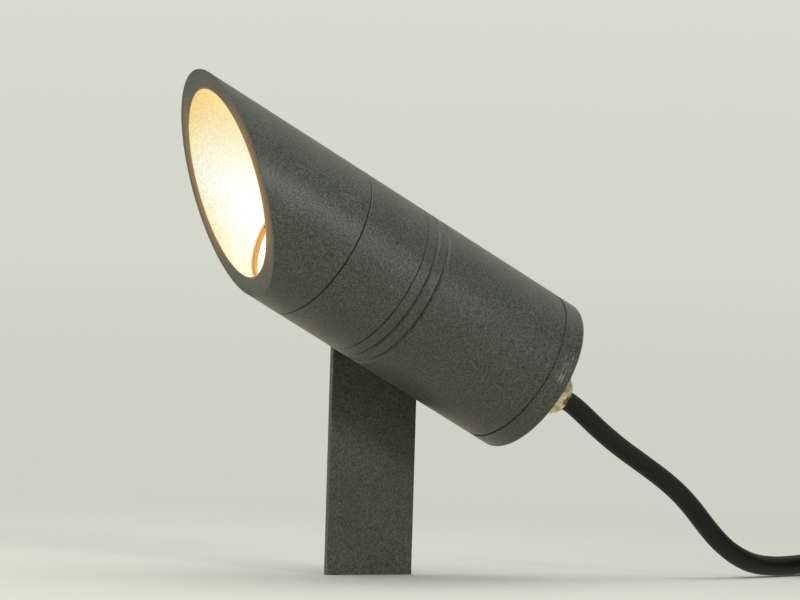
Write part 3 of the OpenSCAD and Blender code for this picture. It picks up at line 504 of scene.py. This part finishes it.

# The ring's painted glow tones belong to distances from the axis
ringGlow = {"tones": [(25.5, (0.78, 0.37, 0.05)), (25.75, (0.75, 0.35, 0.045)), (26.3, (0.56, 0.24, 0.03)),
                      (26.85, (0.28, 0.13, 0.022))], "strength": (0.84, 1.0), "mottleScale": 260,
            "dark": (0.02, 0.015, 0.01), "light": (0.05, 0.035, 0.02), "fleckScale": 900, "specular": 0.12}
spigotGlow = {"tone": (0.9, 0.66, 0.34), "ends": (117.9, 118.4), "strength": 0.8}

addCamera()
print("camera set")

# The cord leaves the gland, comes down to the ground behind the head and is put away in a round coil
cordRoute = {
    "diameter": 8.5,
    "free": [(36, 71.0493, 76.0899), (36, 74.80, 74.09), (36, 78.8, 71.3), (36, 83.2, 67.8),
             (36, 88.2, 63.8), (36, 94, 59.5), (36, 100, 55.4), (36, 106.5, 51.4), (36, 113, 47.4),
             (36, 119.5, 43.3), (36, 125.5, 39.1), (36, 131, 34.6), (36, 136, 29.8), (36, 140.6, 24.8),
             (35.75, 145.4, 19.9), (35.03, 150.8, 15.3), (33.72, 157, 11.3), (31.74, 164, 8.1),
             (29.13, 171.6, 5.9), (25.91, 180, 4.8), (21.93, 190, 4.4), (18.18, 200, 4.6),
             (15.08, 210, 5.1), (13.04, 220, 5.25), (12.4, 232.5, 5.25)],
    "coilMiddle": (61.975, 241, 5.25), "turns": 4.5, "layers": 3, "innerRadius": 36, "pitch": 9.05,
    "leadRadius": 36.5, "leadSteps": 24, "plugHeight": 46, "intoPlug": 4.5, "stepsPerTurn": 40,
}


# The coil's layers wind inward and outward in turn, each one cord higher than the last
def coilPoint(turn):
    c = cordRoute
    perLayer = c["turns"] / c["layers"]
    layer = min(c["layers"] - 1, int(turn / perLayer))
    done = turn - layer * perLayer
    radius = c["innerRadius"] + c["pitch"] * (done if layer % 2 else perLayer - done)
    rise = sum(min(1, max(0, 2 * (turn - k * perLayer) + 0.5)) for k in (1, 2)) * c["pitch"]
    x, y, z = c["coilMiddle"]
    angle = 2 * math.pi * turn
    return Vector((x - radius * math.cos(angle), y + radius * math.sin(angle), z + rise))


# The lead goes on round the coil for half a turn and rises on to the plug on top
def leadPoint(u):
    c = cordRoute
    start = coilPoint(c["turns"])
    middle = start.x - c["leadRadius"]
    reach = u ** 0.8
    rise = (c["plugHeight"] - start.z) * reach * reach * (3 - 2 * reach)
    return Vector((middle + c["leadRadius"] * math.cos(math.pi * u),
                   start.y - c["leadRadius"] * math.sin(math.pi * u), start.z + rise))


# Fills in points on a smooth line through the given ones
def smoothLine(points, steps):
    full = [points[0]] + points + [points[-1]]
    line = []
    for a, b, c, d in zip(full, full[1:], full[2:], full[3:]):
        for k in range(steps):
            t = k / steps
            line.append(0.5 * (2 * b + (c - a) * t + (2 * a - 5 * b + 4 * c - d) * t ** 2
                               + (3 * b - a - 3 * c + d) * t ** 3))
    return line + [points[-1]]


def cordLine():
    c = cordRoute
    free = smoothLine([Vector(p) for p in c["free"]], 3)
    turns = [coilPoint(i / c["stepsPerTurn"]) for i in range(int(c["turns"] * c["stepsPerTurn"]) + 1)]
    lead = [leadPoint(k / c["leadSteps"]) for k in range(1, c["leadSteps"] + 1)]
    return [p * mm for p in free + turns + lead + [lead[-1] + Vector((0, c["intoPlug"], 0))]]


def makeCord(material):
    line = cordLine()
    onlyThis(None)
    curve = bpy.data.curves.new("supplyLine", "CURVE")
    curve.dimensions = "3D"
    curve.bevel_depth = cordRoute["diameter"] / 2 * mm
    curve.bevel_resolution = 4
    curve.use_fill_caps = True
    spline = curve.splines.new("POLY")
    spline.points.add(len(line) - 1)
    for point, place in zip(spline.points, line):
        point.co = (*place, 1)
    cord = bpy.data.objects.new("supplyLine", curve)
    bpy.context.scene.collection.objects.link(cord)
    onlyThis(cord)
    bpy.ops.object.convert(target="MESH")
    cord = bpy.context.object
    bpy.ops.object.shade_smooth()
    cord.data.materials.clear()
    cord.data.materials.append(material)
    length = sum((b - a).length for a, b in zip(line, line[1:]))
    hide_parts("supply_cord", "cord_coil", "plug_lead")
    return cord, line, length


materials = {slot: grainedFinish(slot, look) for slot, look in finishes.items()}
materials["clear_glass"] = glassFinish()
litHood, litSpigot = litHoodFinish(), litSpigotFinish()
litRing, rubAndGlintCap = litRingFinish(), markedCapFinish()

cord, cordPath, cordLength = makeCord(materials["cord_rubber"])
print("cord made, length", round(cordLength, 4))

# Turned parts of the head. The slit is the shadow line at each seam: half its width, and its depth
housing = {"outer": 34, "bore": 29, "length": 75, "rearBevel": (0.55, 1.6), "seamBevel": 0.4,
           "grooves": (64, 69.5), "grooveHalf": 0.9, "grooveDepth": 0.9, "slit": (0.09, 0.6),
           "bossRadius": 6.1, "bossCircle": 23.5, "bossTurns": (90, 210, 330), "bossPlace": (8.5, 22),
           "bossHole": 2, "pivotFlat": 33, "pivotPad": (8.4, 9.2, -26.9), "pivotFace": (9.185, 5),
           "pivotHole": (3, 9.5, -28.75)}


def makeHousing():
    h = housing
    half, deep = h["slit"]
    outer, end, floor = h["outer"], h["length"], h["outer"] - deep
    outline = [(h["bore"], 0), (floor, 0), (floor, half), (outer - h["rearBevel"][0], half),
               (outer, h["rearBevel"][1])]
    for place in h["grooves"]:
        outline += [(outer, place - h["grooveHalf"]), (outer - h["grooveDepth"], place),
                    (outer, place + h["grooveHalf"])]
    outline += [(outer, end - h["seamBevel"]), (outer - h["seamBevel"], end - half), (floor, end - half),
                (floor, end), (h["bore"], end)]
    tube = turnPiece("housingTube", outline, 128)
    start, length = h["bossPlace"][0], h["bossPlace"][1] - h["bossPlace"][0]
    for turn in h["bossTurns"]:
        x, y = onCircle(h["bossCircle"], turn)
        combine(tube, addRod(h["bossRadius"], length, (x, y, start + length / 2)), "UNION")
        combine(tube, addRod(h["bossHole"], length + 2, (x, y, start + length / 2 - 1)))
    radius, length, place = h["pivotPad"]
    combine(tube, addRod(radius, length, (place, 0, pivotPlace), 48, (0, 90, 0)), "UNION")
    radius, length = h["pivotFace"]
    combine(tube, addRod(radius, length, (-h["pivotFlat"] - length / 2, 0, pivotPlace), 64, (0, 90, 0)))
    radius, length, place = h["pivotHole"]
    combine(tube, addRod(radius, length, (place, 0, pivotPlace), 48, (0, 90, 0)))
    finishPiece(tube, "head", "main_housing", headPlace)


# Each groove is its floor's radius, its start and its end. Each hole is a radius, a length and a centre
sink = {"outer": 34, "spigot": 28.9, "hoodSpigot": 27.92, "seat": 26.92, "chamber": 24.52, "rear": 65,
        "floor": 82, "seam": 75, "hoodSeam": 105, "ledge": 112.5, "front": 118.5, "bevel": 0.4,
        "sealGroove": (26.9, 69.4, 71.8), "hoodGroove": (25.82, 105.8, 108.2),
        "grubGroove": (26.72, 109.2, 111.2),
        "holes": [(2, 19, (-12, 0, 73.5)), (1.5, 9, (0, -15.5, 78.5)), (2, 10, (-7, -18.5, 69)),
                  (2, 19, (12, 0, 73.5)), (1.5, 9, (0, 15.5, 78.5)), (2, 10, (7, -18.5, 69))]}


def makeSink():
    k = sink
    half, deep = housing["slit"]
    outer, bevel, seam, hoodSeam = k["outer"], k["bevel"], k["seam"], k["hoodSeam"]
    outline = [(0, k["rear"]), (k["spigot"] - bevel, k["rear"]), (k["spigot"], k["rear"] + bevel)]
    outline += groove(k["spigot"], *k["sealGroove"])
    outline += [(k["spigot"], seam), (outer - deep, seam), (outer - deep, seam + half),
                (outer - bevel, seam + half), (outer, seam + bevel), (outer, hoodSeam - bevel),
                (outer - bevel, hoodSeam), (k["hoodSpigot"], hoodSeam)]
    outline += groove(k["hoodSpigot"], *k["hoodGroove"]) + groove(k["hoodSpigot"], *k["grubGroove"])
    outline += [(k["hoodSpigot"], k["front"]), (k["seat"], k["front"]), (k["seat"], k["ledge"]),
                (k["chamber"], k["ledge"]), (k["chamber"], k["floor"]), (0, k["floor"])]
    body = turnPiece("sinkBody", outline, 128, closed=False)
    for radius, length, centre in k["holes"]:
        combine(body, addRod(radius, length, centre))
    finishPiece(body, "head", "heat_sink", headPlace, material=litSpigot)


cap = {"outer": 34, "length": 10, "edge": 1.5, "seamBevel": (0.15, 0.25), "spigot": 28.9, "spigotLength": 8,
       "bevel": 0.4, "hollow": 15, "floor": 6, "sealGroove": (26.9, 2.8, 5.2), "glandBore": (8, 8, -7),
       "glandDrop": 1, "screwHole": (2.3, 20, -1), "counterbore": (3.8, 5.4, -8.3)}


def makeCap():
    c = cap
    half, deep = housing["slit"]
    outer, rear, front, inner = c["outer"], -c["length"], c["spigotLength"], c["floor"] - c["length"]
    outline = [(0, rear)]
    for turn in range(0, 91, 15):
        x, y = onCircle(c["edge"], turn)
        outline.append((outer - c["edge"] + y, rear + c["edge"] - x))
    outline += [(outer, -c["seamBevel"][1]), (outer - c["seamBevel"][0], -half), (outer - deep, -half),
                (outer - deep, 0), (c["spigot"], 0)]
    outline += groove(c["spigot"], *c["sealGroove"])
    outline += [(c["spigot"], front - c["bevel"]), (c["spigot"] - c["bevel"], front), (c["hollow"], front),
                (c["hollow"], inner), (0, inner)]
    body = turnPiece("capBody", outline, 128, closed=False)
    radius, length, place = c["glandBore"]
    combine(body, addRod(radius, length, (0, -c["glandDrop"], place), 64))
    for turn in housing["bossTurns"]:
        for radius, length, place in (c["screwHole"], c["counterbore"]):
            combine(body, addRod(radius, length, (*onCircle(housing["bossCircle"], turn), place)))
    finishPiece(body, "head", "rear_cap", headPlace, width=0.12, material=rubAndGlintCap)


hood = {"outer": 34, "bore": 28, "rear": 105.3, "rimTop": 187.5, "bevel": 0.4, "far": 30,
        "grubHole": (1.5, 9, (-31, 0, 110.2))}


# Two open walls are cut on the slant together, and then the rim is bridged between them
def makeHood():
    h = hood
    outer, rear, far = h["outer"], h["rear"], h["rimTop"] + h["far"]
    outline = [(h["bore"], far), (h["bore"], rear), (outer - h["bevel"], rear), (outer, rear + h["bevel"]),
               (outer, far)]
    shell = turnPiece("hoodShell", outline, 160, closed=False)
    bpy.ops.object.mode_set(mode="EDIT")
    bpy.ops.mesh.select_all(action="SELECT")
    bpy.ops.mesh.bisect(plane_co=(0, outer * mm, h["rimTop"] * mm), plane_no=(0, -1, 1), clear_outer=True)
    bpy.ops.mesh.select_all(action="DESELECT")
    bpy.ops.mesh.select_mode(type="EDGE")
    bpy.ops.mesh.select_non_manifold(extend=False, use_wire=False, use_multi_face=False,
                                     use_non_contiguous=False, use_verts=False)
    bpy.ops.mesh.bridge_edge_loops()
    bpy.ops.mesh.select_all(action="SELECT")
    bpy.ops.mesh.normals_make_consistent(inside=False)
    bpy.ops.mesh.select_mode(type="VERT")
    bpy.ops.object.mode_set(mode="OBJECT")
    combine(shell, addRod(*h["grubHole"], 32, (0, 90, 0)))
    finishPiece(shell, "hood", "glare_hood", headPlace, width=0.3, segments=3, material=litHood)


retainer = {"outer": 26.82, "window": 25.57, "back": 116.8, "front": 118.5, "notch": (3, 60, 2)}


def makeRetainer():
    r = retainer
    outline = [(r["window"], r["back"]), (r["outer"], r["back"]), (r["outer"], r["front"]),
               (r["window"], r["front"])]
    ring = turnPiece("glassRetainer", outline, 128)
    for turn in (0, 90):
        combine(ring, addBlock(r["notch"], (0, 0, r["front"]), turn))
    finishPiece(ring, "head", "glass_ring", headPlace, width=0.08, material=litRing)


# The glass is drawn with its polished edges
glass = {"radius": 26.72, "back": 113.3, "front": 116.3, "edge": 0.35}


def makeGlass():
    radius, back, front, edge = [glass[key] for key in ("radius", "back", "front", "edge")]
    outline = [(0, back), (radius - edge, back), (radius, back + edge), (radius, front - edge),
               (radius - edge, front), (0, front)]
    pane = turnPiece("frontPane", outline, 128, closed=False)
    finishPiece(pane, "head", "front_glass", headPlace, width=0)


# Cable gland, drawn backward from the cap's rear face: z grows away from the cap
glandPlace = (headPlace @ Matrix.Translation((0, -cap["glandDrop"] * mm, -cap["length"] * mm))
              @ Matrix.Rotation(math.pi, 4, "Y"))
gland = {"flats": 18, "collar": (1, 5), "collarEdge": (0.5, 0.35), "thread": (7.95, 7, (0, 0, -2.5)),
         "sleeve": (7.5, 8, (0, 0, 8.8)), "bore": (4.65, 30, (0, 0, 4)), "seat": (6, 8, (0, 0, 10.5)),
         "nut": (5.3, 18), "nutEdge": (0.8, 0.5), "hexEnd": 1.2,
         "dome": [(9, 14.8), (7.67, 16.88), (5.5, 18), (0, 18)],
         "nutBore": [(0, 4), (7.55, 4), (7.55, 12.9), (6.15, 12.9), (6.15, 14.3), (4.3, 14.3), (4.3, 19),
                     (0, 19)],
         "seal": [(8.2, 0), (8.8, 0), (9, 0.2), (9, 0.8), (8.8, 1), (8.2, 1)]}


def hexRod(name, flats, start, end):
    rod = addRod(hexCorner(flats), end - start, (0, 0, (start + end) / 2), 6, (0, 0, 30))
    rod.name = name
    return rod


def makeGland():
    g = gland
    corner = hexCorner(g["flats"])
    start, end = g["collar"]
    inset, slope = g["collarEdge"]
    collar = hexRod("glandCollar", g["flats"], start, end)
    limit = [(0, start), (corner - inset, start), (corner, start + slope), (corner, end - slope),
             (corner - inset, end), (0, end)]
    combine(collar, turnPiece("collarLimit", limit, 64, closed=False), "INTERSECT")
    for key in ("thread", "sleeve"):
        combine(collar, addRod(*g[key], 64), "UNION")
    for key in ("bore", "seat"):
        combine(collar, addRod(*g[key], 64))
    finishPiece(collar, "head", "gland_body", glandPlace, width=0.12)
    start, end = g["nut"]
    inset, slope = g["nutEdge"]
    nut = hexRod("glandNut", g["flats"], start, end)
    limit = [(0, start), (corner - inset, start), (corner, start + slope),
             (corner, g["dome"][0][1] - g["hexEnd"])] + g["dome"]
    combine(nut, turnPiece("nutLimit", limit, 96, closed=False), "INTERSECT")
    combine(nut, turnPiece("nutBore", g["nutBore"], 64, closed=False))
    finishPiece(nut, "head", "gland_dome_nut", glandPlace, width=0.25, segments=3)
    washer = turnPiece("glandSeal", g["seal"], 64)
    finishPiece(washer, "head", "gland_washer", glandPlace, width=0.1)


stake = {"width": 40, "thickness": 3, "top": 135, "depth": 165, "pointLength": 50, "tipWidth": 5,
         "pivotHeight": 115, "hole": (3.02, 6), "near": 1, "roundShare": 0.9995, "roundSteps": 24}


def makeStake():
    s = stake
    size = (s["thickness"], s["width"], s["top"] + s["depth"])
    blade = addBlock(size, (0, 0, (s["top"] - s["depth"]) / 2))
    blade.name = "stakeBlade"
    bpy.ops.object.mode_set(mode="EDIT")
    bpy.ops.mesh.select_all(action="SELECT")
    bpy.ops.mesh.bisect(plane_co=(0, 0, (s["pointLength"] - s["depth"]) * mm), plane_no=(0, 0, 1))
    bm = bmesh.from_edit_mesh(blade.data)
    for vert in bm.verts:
        vert.select = vert.co.z < (s["near"] - s["depth"]) * mm
    bm.select_flush(True)
    bmesh.update_edit_mesh(blade.data)
    bpy.ops.transform.resize(value=(1, s["tipWidth"] / s["width"], 1),
                             center_override=(0, 0, -s["depth"] * mm))
    bpy.ops.mesh.select_all(action="DESELECT")
    bm = bmesh.from_edit_mesh(blade.data)
    for edge in bm.edges:
        ends = [vert.co for vert in edge.verts]
        atTop = all(end.z > (s["top"] - s["near"]) * mm for end in ends)
        edge.select = atTop and abs(ends[0].y - ends[1].y) < s["near"] * mm
    bm.select_flush(True)
    bmesh.update_edit_mesh(blade.data)
    bpy.ops.mesh.bevel(offset=s["width"] / 2 * mm * s["roundShare"], segments=s["roundSteps"],
                       affect="EDGES")
    bpy.ops.object.mode_set(mode="OBJECT")
    combine(blade, addRod(*s["hole"], (0, 0, s["pivotHeight"]), 48, (0, 90, 0)))
    finishPiece(blade, "stake", "ground_stake", width=0.35, segments=3, angle=40)


# A screw is its shank's radius and length, its head's radius and height, and its socket's flats and depth
screws = {"cap": (1.95, 25.1, 3.5, 4, 3, 2), "capStart": -5.6, "capTurns": (0, 17, 34),
          "pivot": (2.95, 15.8, 5, 6, 5, 3), "pivotStart": -4.3, "tip": 0.5, "under": 0.2,
          "rim": [(0.45, 0), (0.12, 0.14), (0, 0.45)], "chamfer": (0.35, 0.15, 0.2, 0.3),
          "knurls": 24, "knurlRadius": 0.26, "knurlOut": 0.19, "knurlShort": 1.1}


# A socket screw along z: its head's underside is at 0 and its shank points to +z
def socketScrew(name, shank, length, headRadius, headHeight, flats, depth):
    s = screws
    outline = [(0, -headHeight)] + [(headRadius - inset, rise - headHeight) for inset, rise in s["rim"]]
    outline += [(headRadius, -s["under"]), (headRadius - s["under"], 0), (shank, 0),
                (shank, length - s["tip"]), (shank - s["tip"], length), (0, length)]
    screw = turnPiece(name, outline, 64, closed=False)
    corner = hexCorner(flats)
    combine(screw, addRod(corner, depth * 2, (0, 0, -headHeight), 6))
    wide, narrow, above, below = s["chamfer"]
    top, low = -headHeight - above, below - headHeight
    chamfer = [(0, top), (corner + wide, top), (corner - narrow, low), (0, low)]
    combine(screw, turnPiece("socketChamfer", chamfer, 48, closed=False))
    for k in range(s["knurls"]):
        x, y = onCircle(headRadius + s["knurlOut"], 360 / s["knurls"] * k)
        combine(screw, addRod(s["knurlRadius"], headHeight - s["knurlShort"], (x, y, -headHeight / 2), 10))
    return screw


def joinPieces(pieces, name):
    onlyThis(pieces[0])
    for piece in pieces[1:]:
        piece.select_set(True)
    bpy.ops.object.join()
    bpy.context.object.name = name
    return bpy.context.object


def makeCapScrews():
    placed = []
    for turn, ownTurn in zip(housing["bossTurns"], screws["capTurns"]):
        screw = socketScrew("capScrew", *screws["cap"])
        x, y = onCircle(housing["bossCircle"], turn)
        spot = Matrix.Translation((x * mm, y * mm, screws["capStart"] * mm))
        fixPlace(screw, spot @ Matrix.Rotation(math.radians(ownTurn), 4, "Z"))
        placed.append(screw)
    finishPiece(joinPieces(placed, "capScrews"), "head", "cap_screws", headPlace, width=0.06)


washers = {"flat": [(3.3, -2.7), (6.5, -2.7), (6.6, -2.6), (6.6, -1.6), (6.5, -1.5), (3.3, -1.5)],
           "spring": [(3.3, -4.3), (4.8, -4.3), (5, -4.15), (5, -2.85), (4.8, -2.7), (3.3, -2.7)],
           "springCut": ((12, 1.2, 4), (-6, 0, -3.5)),
           "friction": [(3.3, 1.5), (8.03, 1.5), (8.18, 1.65), (8.18, 2.85), (8.03, 3), (3.3, 3)]}


def makePivotPieces():
    across = Matrix.Translation((0, 0, stake["pivotHeight"] * mm)) @ Matrix.Rotation(math.pi / 2, 4, "Y")
    screw = socketScrew("pivotBolt", *screws["pivot"])
    start = Matrix.Translation((0, 0, screws["pivotStart"] * mm))
    finishPiece(screw, "head", "pivot_screw", across @ start, width=0.06)
    flat = turnPiece("flatWasher", washers["flat"], 64)
    finishPiece(flat, "head", "flat_washer", across, width=0.05)
    spring = turnPiece("springWasher", washers["spring"], 64)
    combine(spring, addBlock(*washers["springCut"]))
    finishPiece(spring, "head", "spring_washer", across, width=0.08)
    friction = turnPiece("frictionWasher", washers["friction"], 64)
    finishPiece(friction, "head", "friction_washer", across, width=0.05)


# The plug lies on the coil; it is drawn along z from the cord's side and then laid over to +Y
plugPlace = Matrix.Translation((0.024975, 0.2455, 0.046)) @ Matrix.Rotation(-math.pi / 2, 4, "X")
plug = {"neck": [(0, 5), (4.35, 5), (4.35, 0), (5.2, 0), (5.45, 0.25)],
        "ribs": 7, "ribStart": 1.6, "ribPitch": 2.3, "ribRadius": 5.45, "ribSlope": 9,
        "rib": [(0, 0), (-0.75, 0.3), (-0.65, 1.1), (0.15, 1.4)],
        "shell": [(7.45, 18), (9.2, 20.2), (12.16, 22.4), (14.3, 25), (15.96, 28), (17.3, 31), (18.2, 34),
                  (18.85, 35.6), (18.95, 36.6), (18.35, 37), (18.35, 37.5), (19, 37.9), (19, 48.6),
                  (18.85, 49.4), (18.2, 50), (16.5, 50), (16.5, 46), (0, 46)],
        "hollow": (40, 13, 56.6, 29), "grips": 4, "grip": (0.5, 12, 16.75), "gripStart": 30.2,
        "gripPitch": 1.6,
        "face": [(0, 50), (3, 50), (3.3, 49.7), (3.6, 50), (16, 50), (16.3, 49.8), (16.3, 46), (0, 46)],
        "halfPitch": 9.5, "pinHole": (2.95, 10, 48),
        "pin": [(0, 46), (2.9, 46), (2.9, 49.8), (2.7, 50), (2.4, 50), (2.4, 66.7), (2.25, 67.5),
                (1.7, 68.35), (0.9, 68.85), (0, 69)],
        "strip": (4, 0.6, 10), "stripPlace": (19.3, 43), "stripGroove": (0.5, 6, 19.75),
        "stripGrooves": (40.5, 45.5)}


def makePlug():
    p = plug
    outline = list(p["neck"])
    for k in range(p["ribs"]):
        start = p["ribStart"] + p["ribPitch"] * k
        radius = p["ribRadius"] + start / p["ribSlope"]
        outline += [(radius + out, start + along) for out, along in p["rib"]]
    body = turnPiece("plugBody", outline + p["shell"], 96, closed=False)
    radius, length, out, place = p["hollow"]
    gripRadius, gripLength, gripOut = p["grip"]
    for side in (-1, 1):
        combine(body, addRod(radius, length, (side * out, 0, place), 96))
        for k in range(p["grips"]):
            centre = (side * gripOut, 0, p["gripStart"] + p["gripPitch"] * k)
            combine(body, addRod(gripRadius, gripLength, centre, 12, (90, 0, 0)))
    face = turnPiece("plugFace", p["face"], 96, closed=False)
    pins, strips = [], []
    for side in (-1, 1):
        radius, length, place = p["pinHole"]
        combine(face, addRod(radius, length, (side * p["halfPitch"], 0, place), 40))
        pins.append(turnPiece("plugPin", p["pin"], 48, closed=False))
        fixPlace(pins[-1], Matrix.Translation((side * p["halfPitch"] * mm, 0, 0)))
        out, place = p["stripPlace"]
        strips.append(addBlock(p["strip"], (0, side * out, place)))
        radius, length, out = p["stripGroove"]
        for place in p["stripGrooves"]:
            combine(strips[-1], addRod(radius, length, (0, side * out, place), 24, (0, 90, 0)))
    pins, strips = joinPieces(pins, "plugPins"), joinPieces(strips, "plugEarths")
    return [finishPiece(body, "stake", "plug_body", plugPlace, width=0.12),
            finishPiece(face, "stake", "plug_insert", plugPlace, width=0.1),
            finishPiece(pins, "stake", "plug_pins", plugPlace, width=0.05),
            finishPiece(strips, "stake", "plug_earth_contacts", plugPlace, width=0.08)]


tie = {"middle": (61.975, 283.787, 14.5), "outside": (6, 20.15, 28.8), "thickness": 0.8}


# A flat tie in a loop round one side of the coil
def makeTie():
    wide, across, high = tie["outside"]
    walls = 2 * tie["thickness"]
    strap = addBlock(tie["outside"], tie["middle"])
    strap.name = "coilStrap"
    combine(strap, addBlock((wide + 2, across - walls, high - walls), tie["middle"]))
    return finishPiece(strap, "stake", "coil_tie", width=0.3, segments=3)


makeHousing()
makeSink()
makeCap()
makeCapScrews()
print("housing, heat sink and cap made")
makeHood()
makeRetainer()
makeGlass()
print("hood, glass and its ring made")
makeGland()
makeStake()
makePivotPieces()
print("gland, stake and pivot made")
onCord = makePlug() + [makeTie()]
print("plug and tie made")

# Each wire has its own colour, told apart by its place across the head, in millimetres from the axis
wires = {"reach": 40, "fleckScale": 1500, "fleck": (0.88, 1.12), "tones": {
    "mains_cores": [(-40, (0.12, 0.045, 0.02)), (-1.2, (0.02, 0.09, 0.34)), (1.2, (0.16, 0.3, 0.03))],
    "driver_leads": [(-40, (0.02, 0.09, 0.34)), (0, (0.12, 0.045, 0.02))],
    "led_leads": [(-40, (0.016, 0.016, 0.017)), (0, (0.42, 0.025, 0.016))],
}}


def wireFinish(name):
    reach = wires["reach"]
    material, tree, shader = copyFinish("wire_insulation", name + "_finish")
    across = spreadOver(tree, headCoords(tree)[0], (-reach, reach))
    stops = [((place + reach) / (2 * reach), tone) for place, tone in wires["tones"][name]]
    tone = colourRamp(tree, across, stops, "CONSTANT")
    fleck = flecks(tree, wires["fleckScale"], wires["fleck"], (0.3, 0.7))
    feed(tree, shader, {"Base Color": scaleColour(tree, tone, fleck)})
    return material


# The CAD nodes that stay get their slot's finish, and the wires their own colours
for name, node in frame["nodes"].items():
    node.data.materials.clear()
    node.data.materials.append(wireFinish(name) if name in wires["tones"] else materials[slotOf[name]])

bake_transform(cord)

# A wide pale floor takes the object's shadow, and further out it has the even tone of the surroundings
backdrop = {"radius": 9, "dark": (0.694425, 0.702305, 0.64025), "light": (0.715575, 0.723695, 0.65975),
            "bounce": (0.82, 0.77, 0.59), "mirror": 0.7, "evenFrom": 0.3, "evenTo": 0.62, "outFrom": 1.5,
            "farTone": (0.624, 0.637, 0.552), "horizon": (0.66, 0.672, 0.585), "above": (0.7, 0.712, 0.622),
            "wall": (0.69, 0.7, 0.61), "roughness": 0.9, "specular": 0.1, "fleckScale": 240}


def makeBackdrop():
    b = backdrop
    onlyThis(None)
    bpy.ops.mesh.primitive_circle_add(vertices=96, radius=b["radius"], fill_type="TRIFAN")
    floor = bpy.context.object
    floor.name = "paleFloor"
    material, tree, shader = startMaterial("paleFloor")
    fleck = flecks(tree, b["fleckScale"], span=(0.3, 0.7), detail=3)
    feed(tree, shader, {"Base Color": blendColours(tree, fleck, b["dark"], b["light"]),
                        "Roughness": b["roughness"], "Specular IOR Level": b["specular"]})
    path = tree.nodes.new("ShaderNodeLightPath")
    length = tree.nodes.new("ShaderNodeVectorMath")
    length.operation = "LENGTH"
    feed(tree, length, {0: places(tree)})
    reach = length.outputs["Value"]
    far = spread(tree, reach, b["evenFrom"], b["evenTo"], 0, 1)
    outward = spread(tree, reach, b["outFrom"], b["radius"], 0, 1)
    tone = blendColours(tree, outward, b["farTone"], b["horizon"])
    # Glossy rays mostly see painted light instead of the shaded floor: a warm bounce near the object and
    # the wall tone further out
    mirrorTone = blendColours(tree, far, b["bounce"], b["wall"])
    glow = tree.nodes.new("ShaderNodeEmission")
    glossy = path.outputs["Is Glossy Ray"]
    feed(tree, glow, {"Color": blendColours(tree, glossy, tone, mirrorTone)})
    seen = mathStep(tree, "MULTIPLY", path.outputs["Is Camera Ray"], far)
    mirrored = mathStep(tree, "MULTIPLY", glossy, spread(tree, far, 0, 1, b["mirror"], 1))
    mix = tree.nodes.new("ShaderNodeMixShader")
    amount = mathStep(tree, "MAXIMUM", seen, mirrored)
    feed(tree, mix, {0: amount, 1: shader.outputs[0], 2: glow.outputs[0]})
    feed(tree, tree.nodes["Material Output"], {"Surface": mix.outputs[0]})
    floor.data.materials.append(material)


makeBackdrop()

lamps = [
    {"name": "topSoftbox", "place": (0.2, 0.1, 1.9), "aim": (0, 0, 0.1), "size": (1.8, 1.8), "watts": 17.5,
     "colour": (1, 1, 0.96)},
    {"name": "sideSoftbox", "place": (1.0, -1.6, 1.4), "aim": (0, 0, 0.1), "size": (0.9, 0.9), "watts": 4.5,
     "colour": (1, 0.99, 0.92)},
    {"name": "bandLamp", "place": (0.83, 0.19, 0.395), "aim": (0.06, -0.13, 0.17), "size": (0.16, 0.16),
     "watts": 0.33, "colour": (1, 1, 0.96), "beam": 60},
    {"name": "frontFill", "place": (-0.9, -1.9, 0.4), "aim": (0, 0, 0.12), "size": (0.9, 0.6),
     "watts": 16.5, "colour": (1, 0.99, 0.9)},
]


def addLamps():
    for lamp in lamps:
        bpy.ops.object.light_add(type="AREA", location=lamp["place"])
        light = bpy.context.object
        light.name = lamp["name"]
        light.data.shape = "RECTANGLE"
        light.data.size, light.data.size_y = lamp["size"]
        light.data.energy = lamp["watts"]
        light.data.color = lamp["colour"]
        light.data.spread = math.radians(lamp.get("beam", 180))
        aim = Vector(lamp["aim"]) - Vector(lamp["place"])
        light.rotation_euler = aim.to_track_quat("-Z", "Y").to_euler()


addLamps()

# A plain sky: pale overhead and at eye level, duller between, and warm from below
sky = {"stops": [(0.0, (0.3, 0.288, 0.24)), (0.42, (0.252, 0.252, 0.216)), (0.5, (0.42, 0.426, 0.396)),
                 (0.58, (0.42, 0.432, 0.402)), (0.7, (0.252, 0.258, 0.24)), (0.85, (0.45, 0.468, 0.444)),
                 (1.0, (0.6, 0.612, 0.6))], "behind": (-0.883, 0.469, 0), "behindFrom": (0.1, 0.4),
       "haze": (-0.01, 0.035)}


def makeSky():
    world = bpy.data.worlds.new("plainSky")
    bpy.context.scene.world = world
    world.use_nodes = True
    tree = world.node_tree
    toward = tree.nodes.new("ShaderNodeTexCoord").outputs["Generated"]
    parts = tree.nodes.new("ShaderNodeSeparateXYZ")
    feed(tree, parts, {0: toward})
    light = colourRamp(tree, spread(tree, parts.outputs[2], -1, 1, 0, 1), sky["stops"])
    side = tree.nodes.new("ShaderNodeVectorMath")
    side.operation = "DOT_PRODUCT"
    side.inputs[1].default_value = sky["behind"]
    feed(tree, side, {0: toward})
    path = tree.nodes.new("ShaderNodeLightPath")
    behind = mathStep(tree, "MULTIPLY", path.outputs["Is Glossy Ray"],
                      spread(tree, side.outputs["Value"], *sky["behindFrom"], 0, 1))
    mirrored = blendColours(tree, behind, light, backdrop["wall"])
    rise = spread(tree, parts.outputs[2], *sky["haze"], 0, 1)
    seen = blendColours(tree, rise, backdrop["horizon"], backdrop["above"])
    tone = blendColours(tree, path.outputs["Is Camera Ray"], mirrored, seen)
    feed(tree, tree.nodes["Background"], {"Color": tone, "Strength": 1})


makeSky()
bpy.context.scene.view_settings.view_transform = "Standard"
print("stage, lamps and sky made")
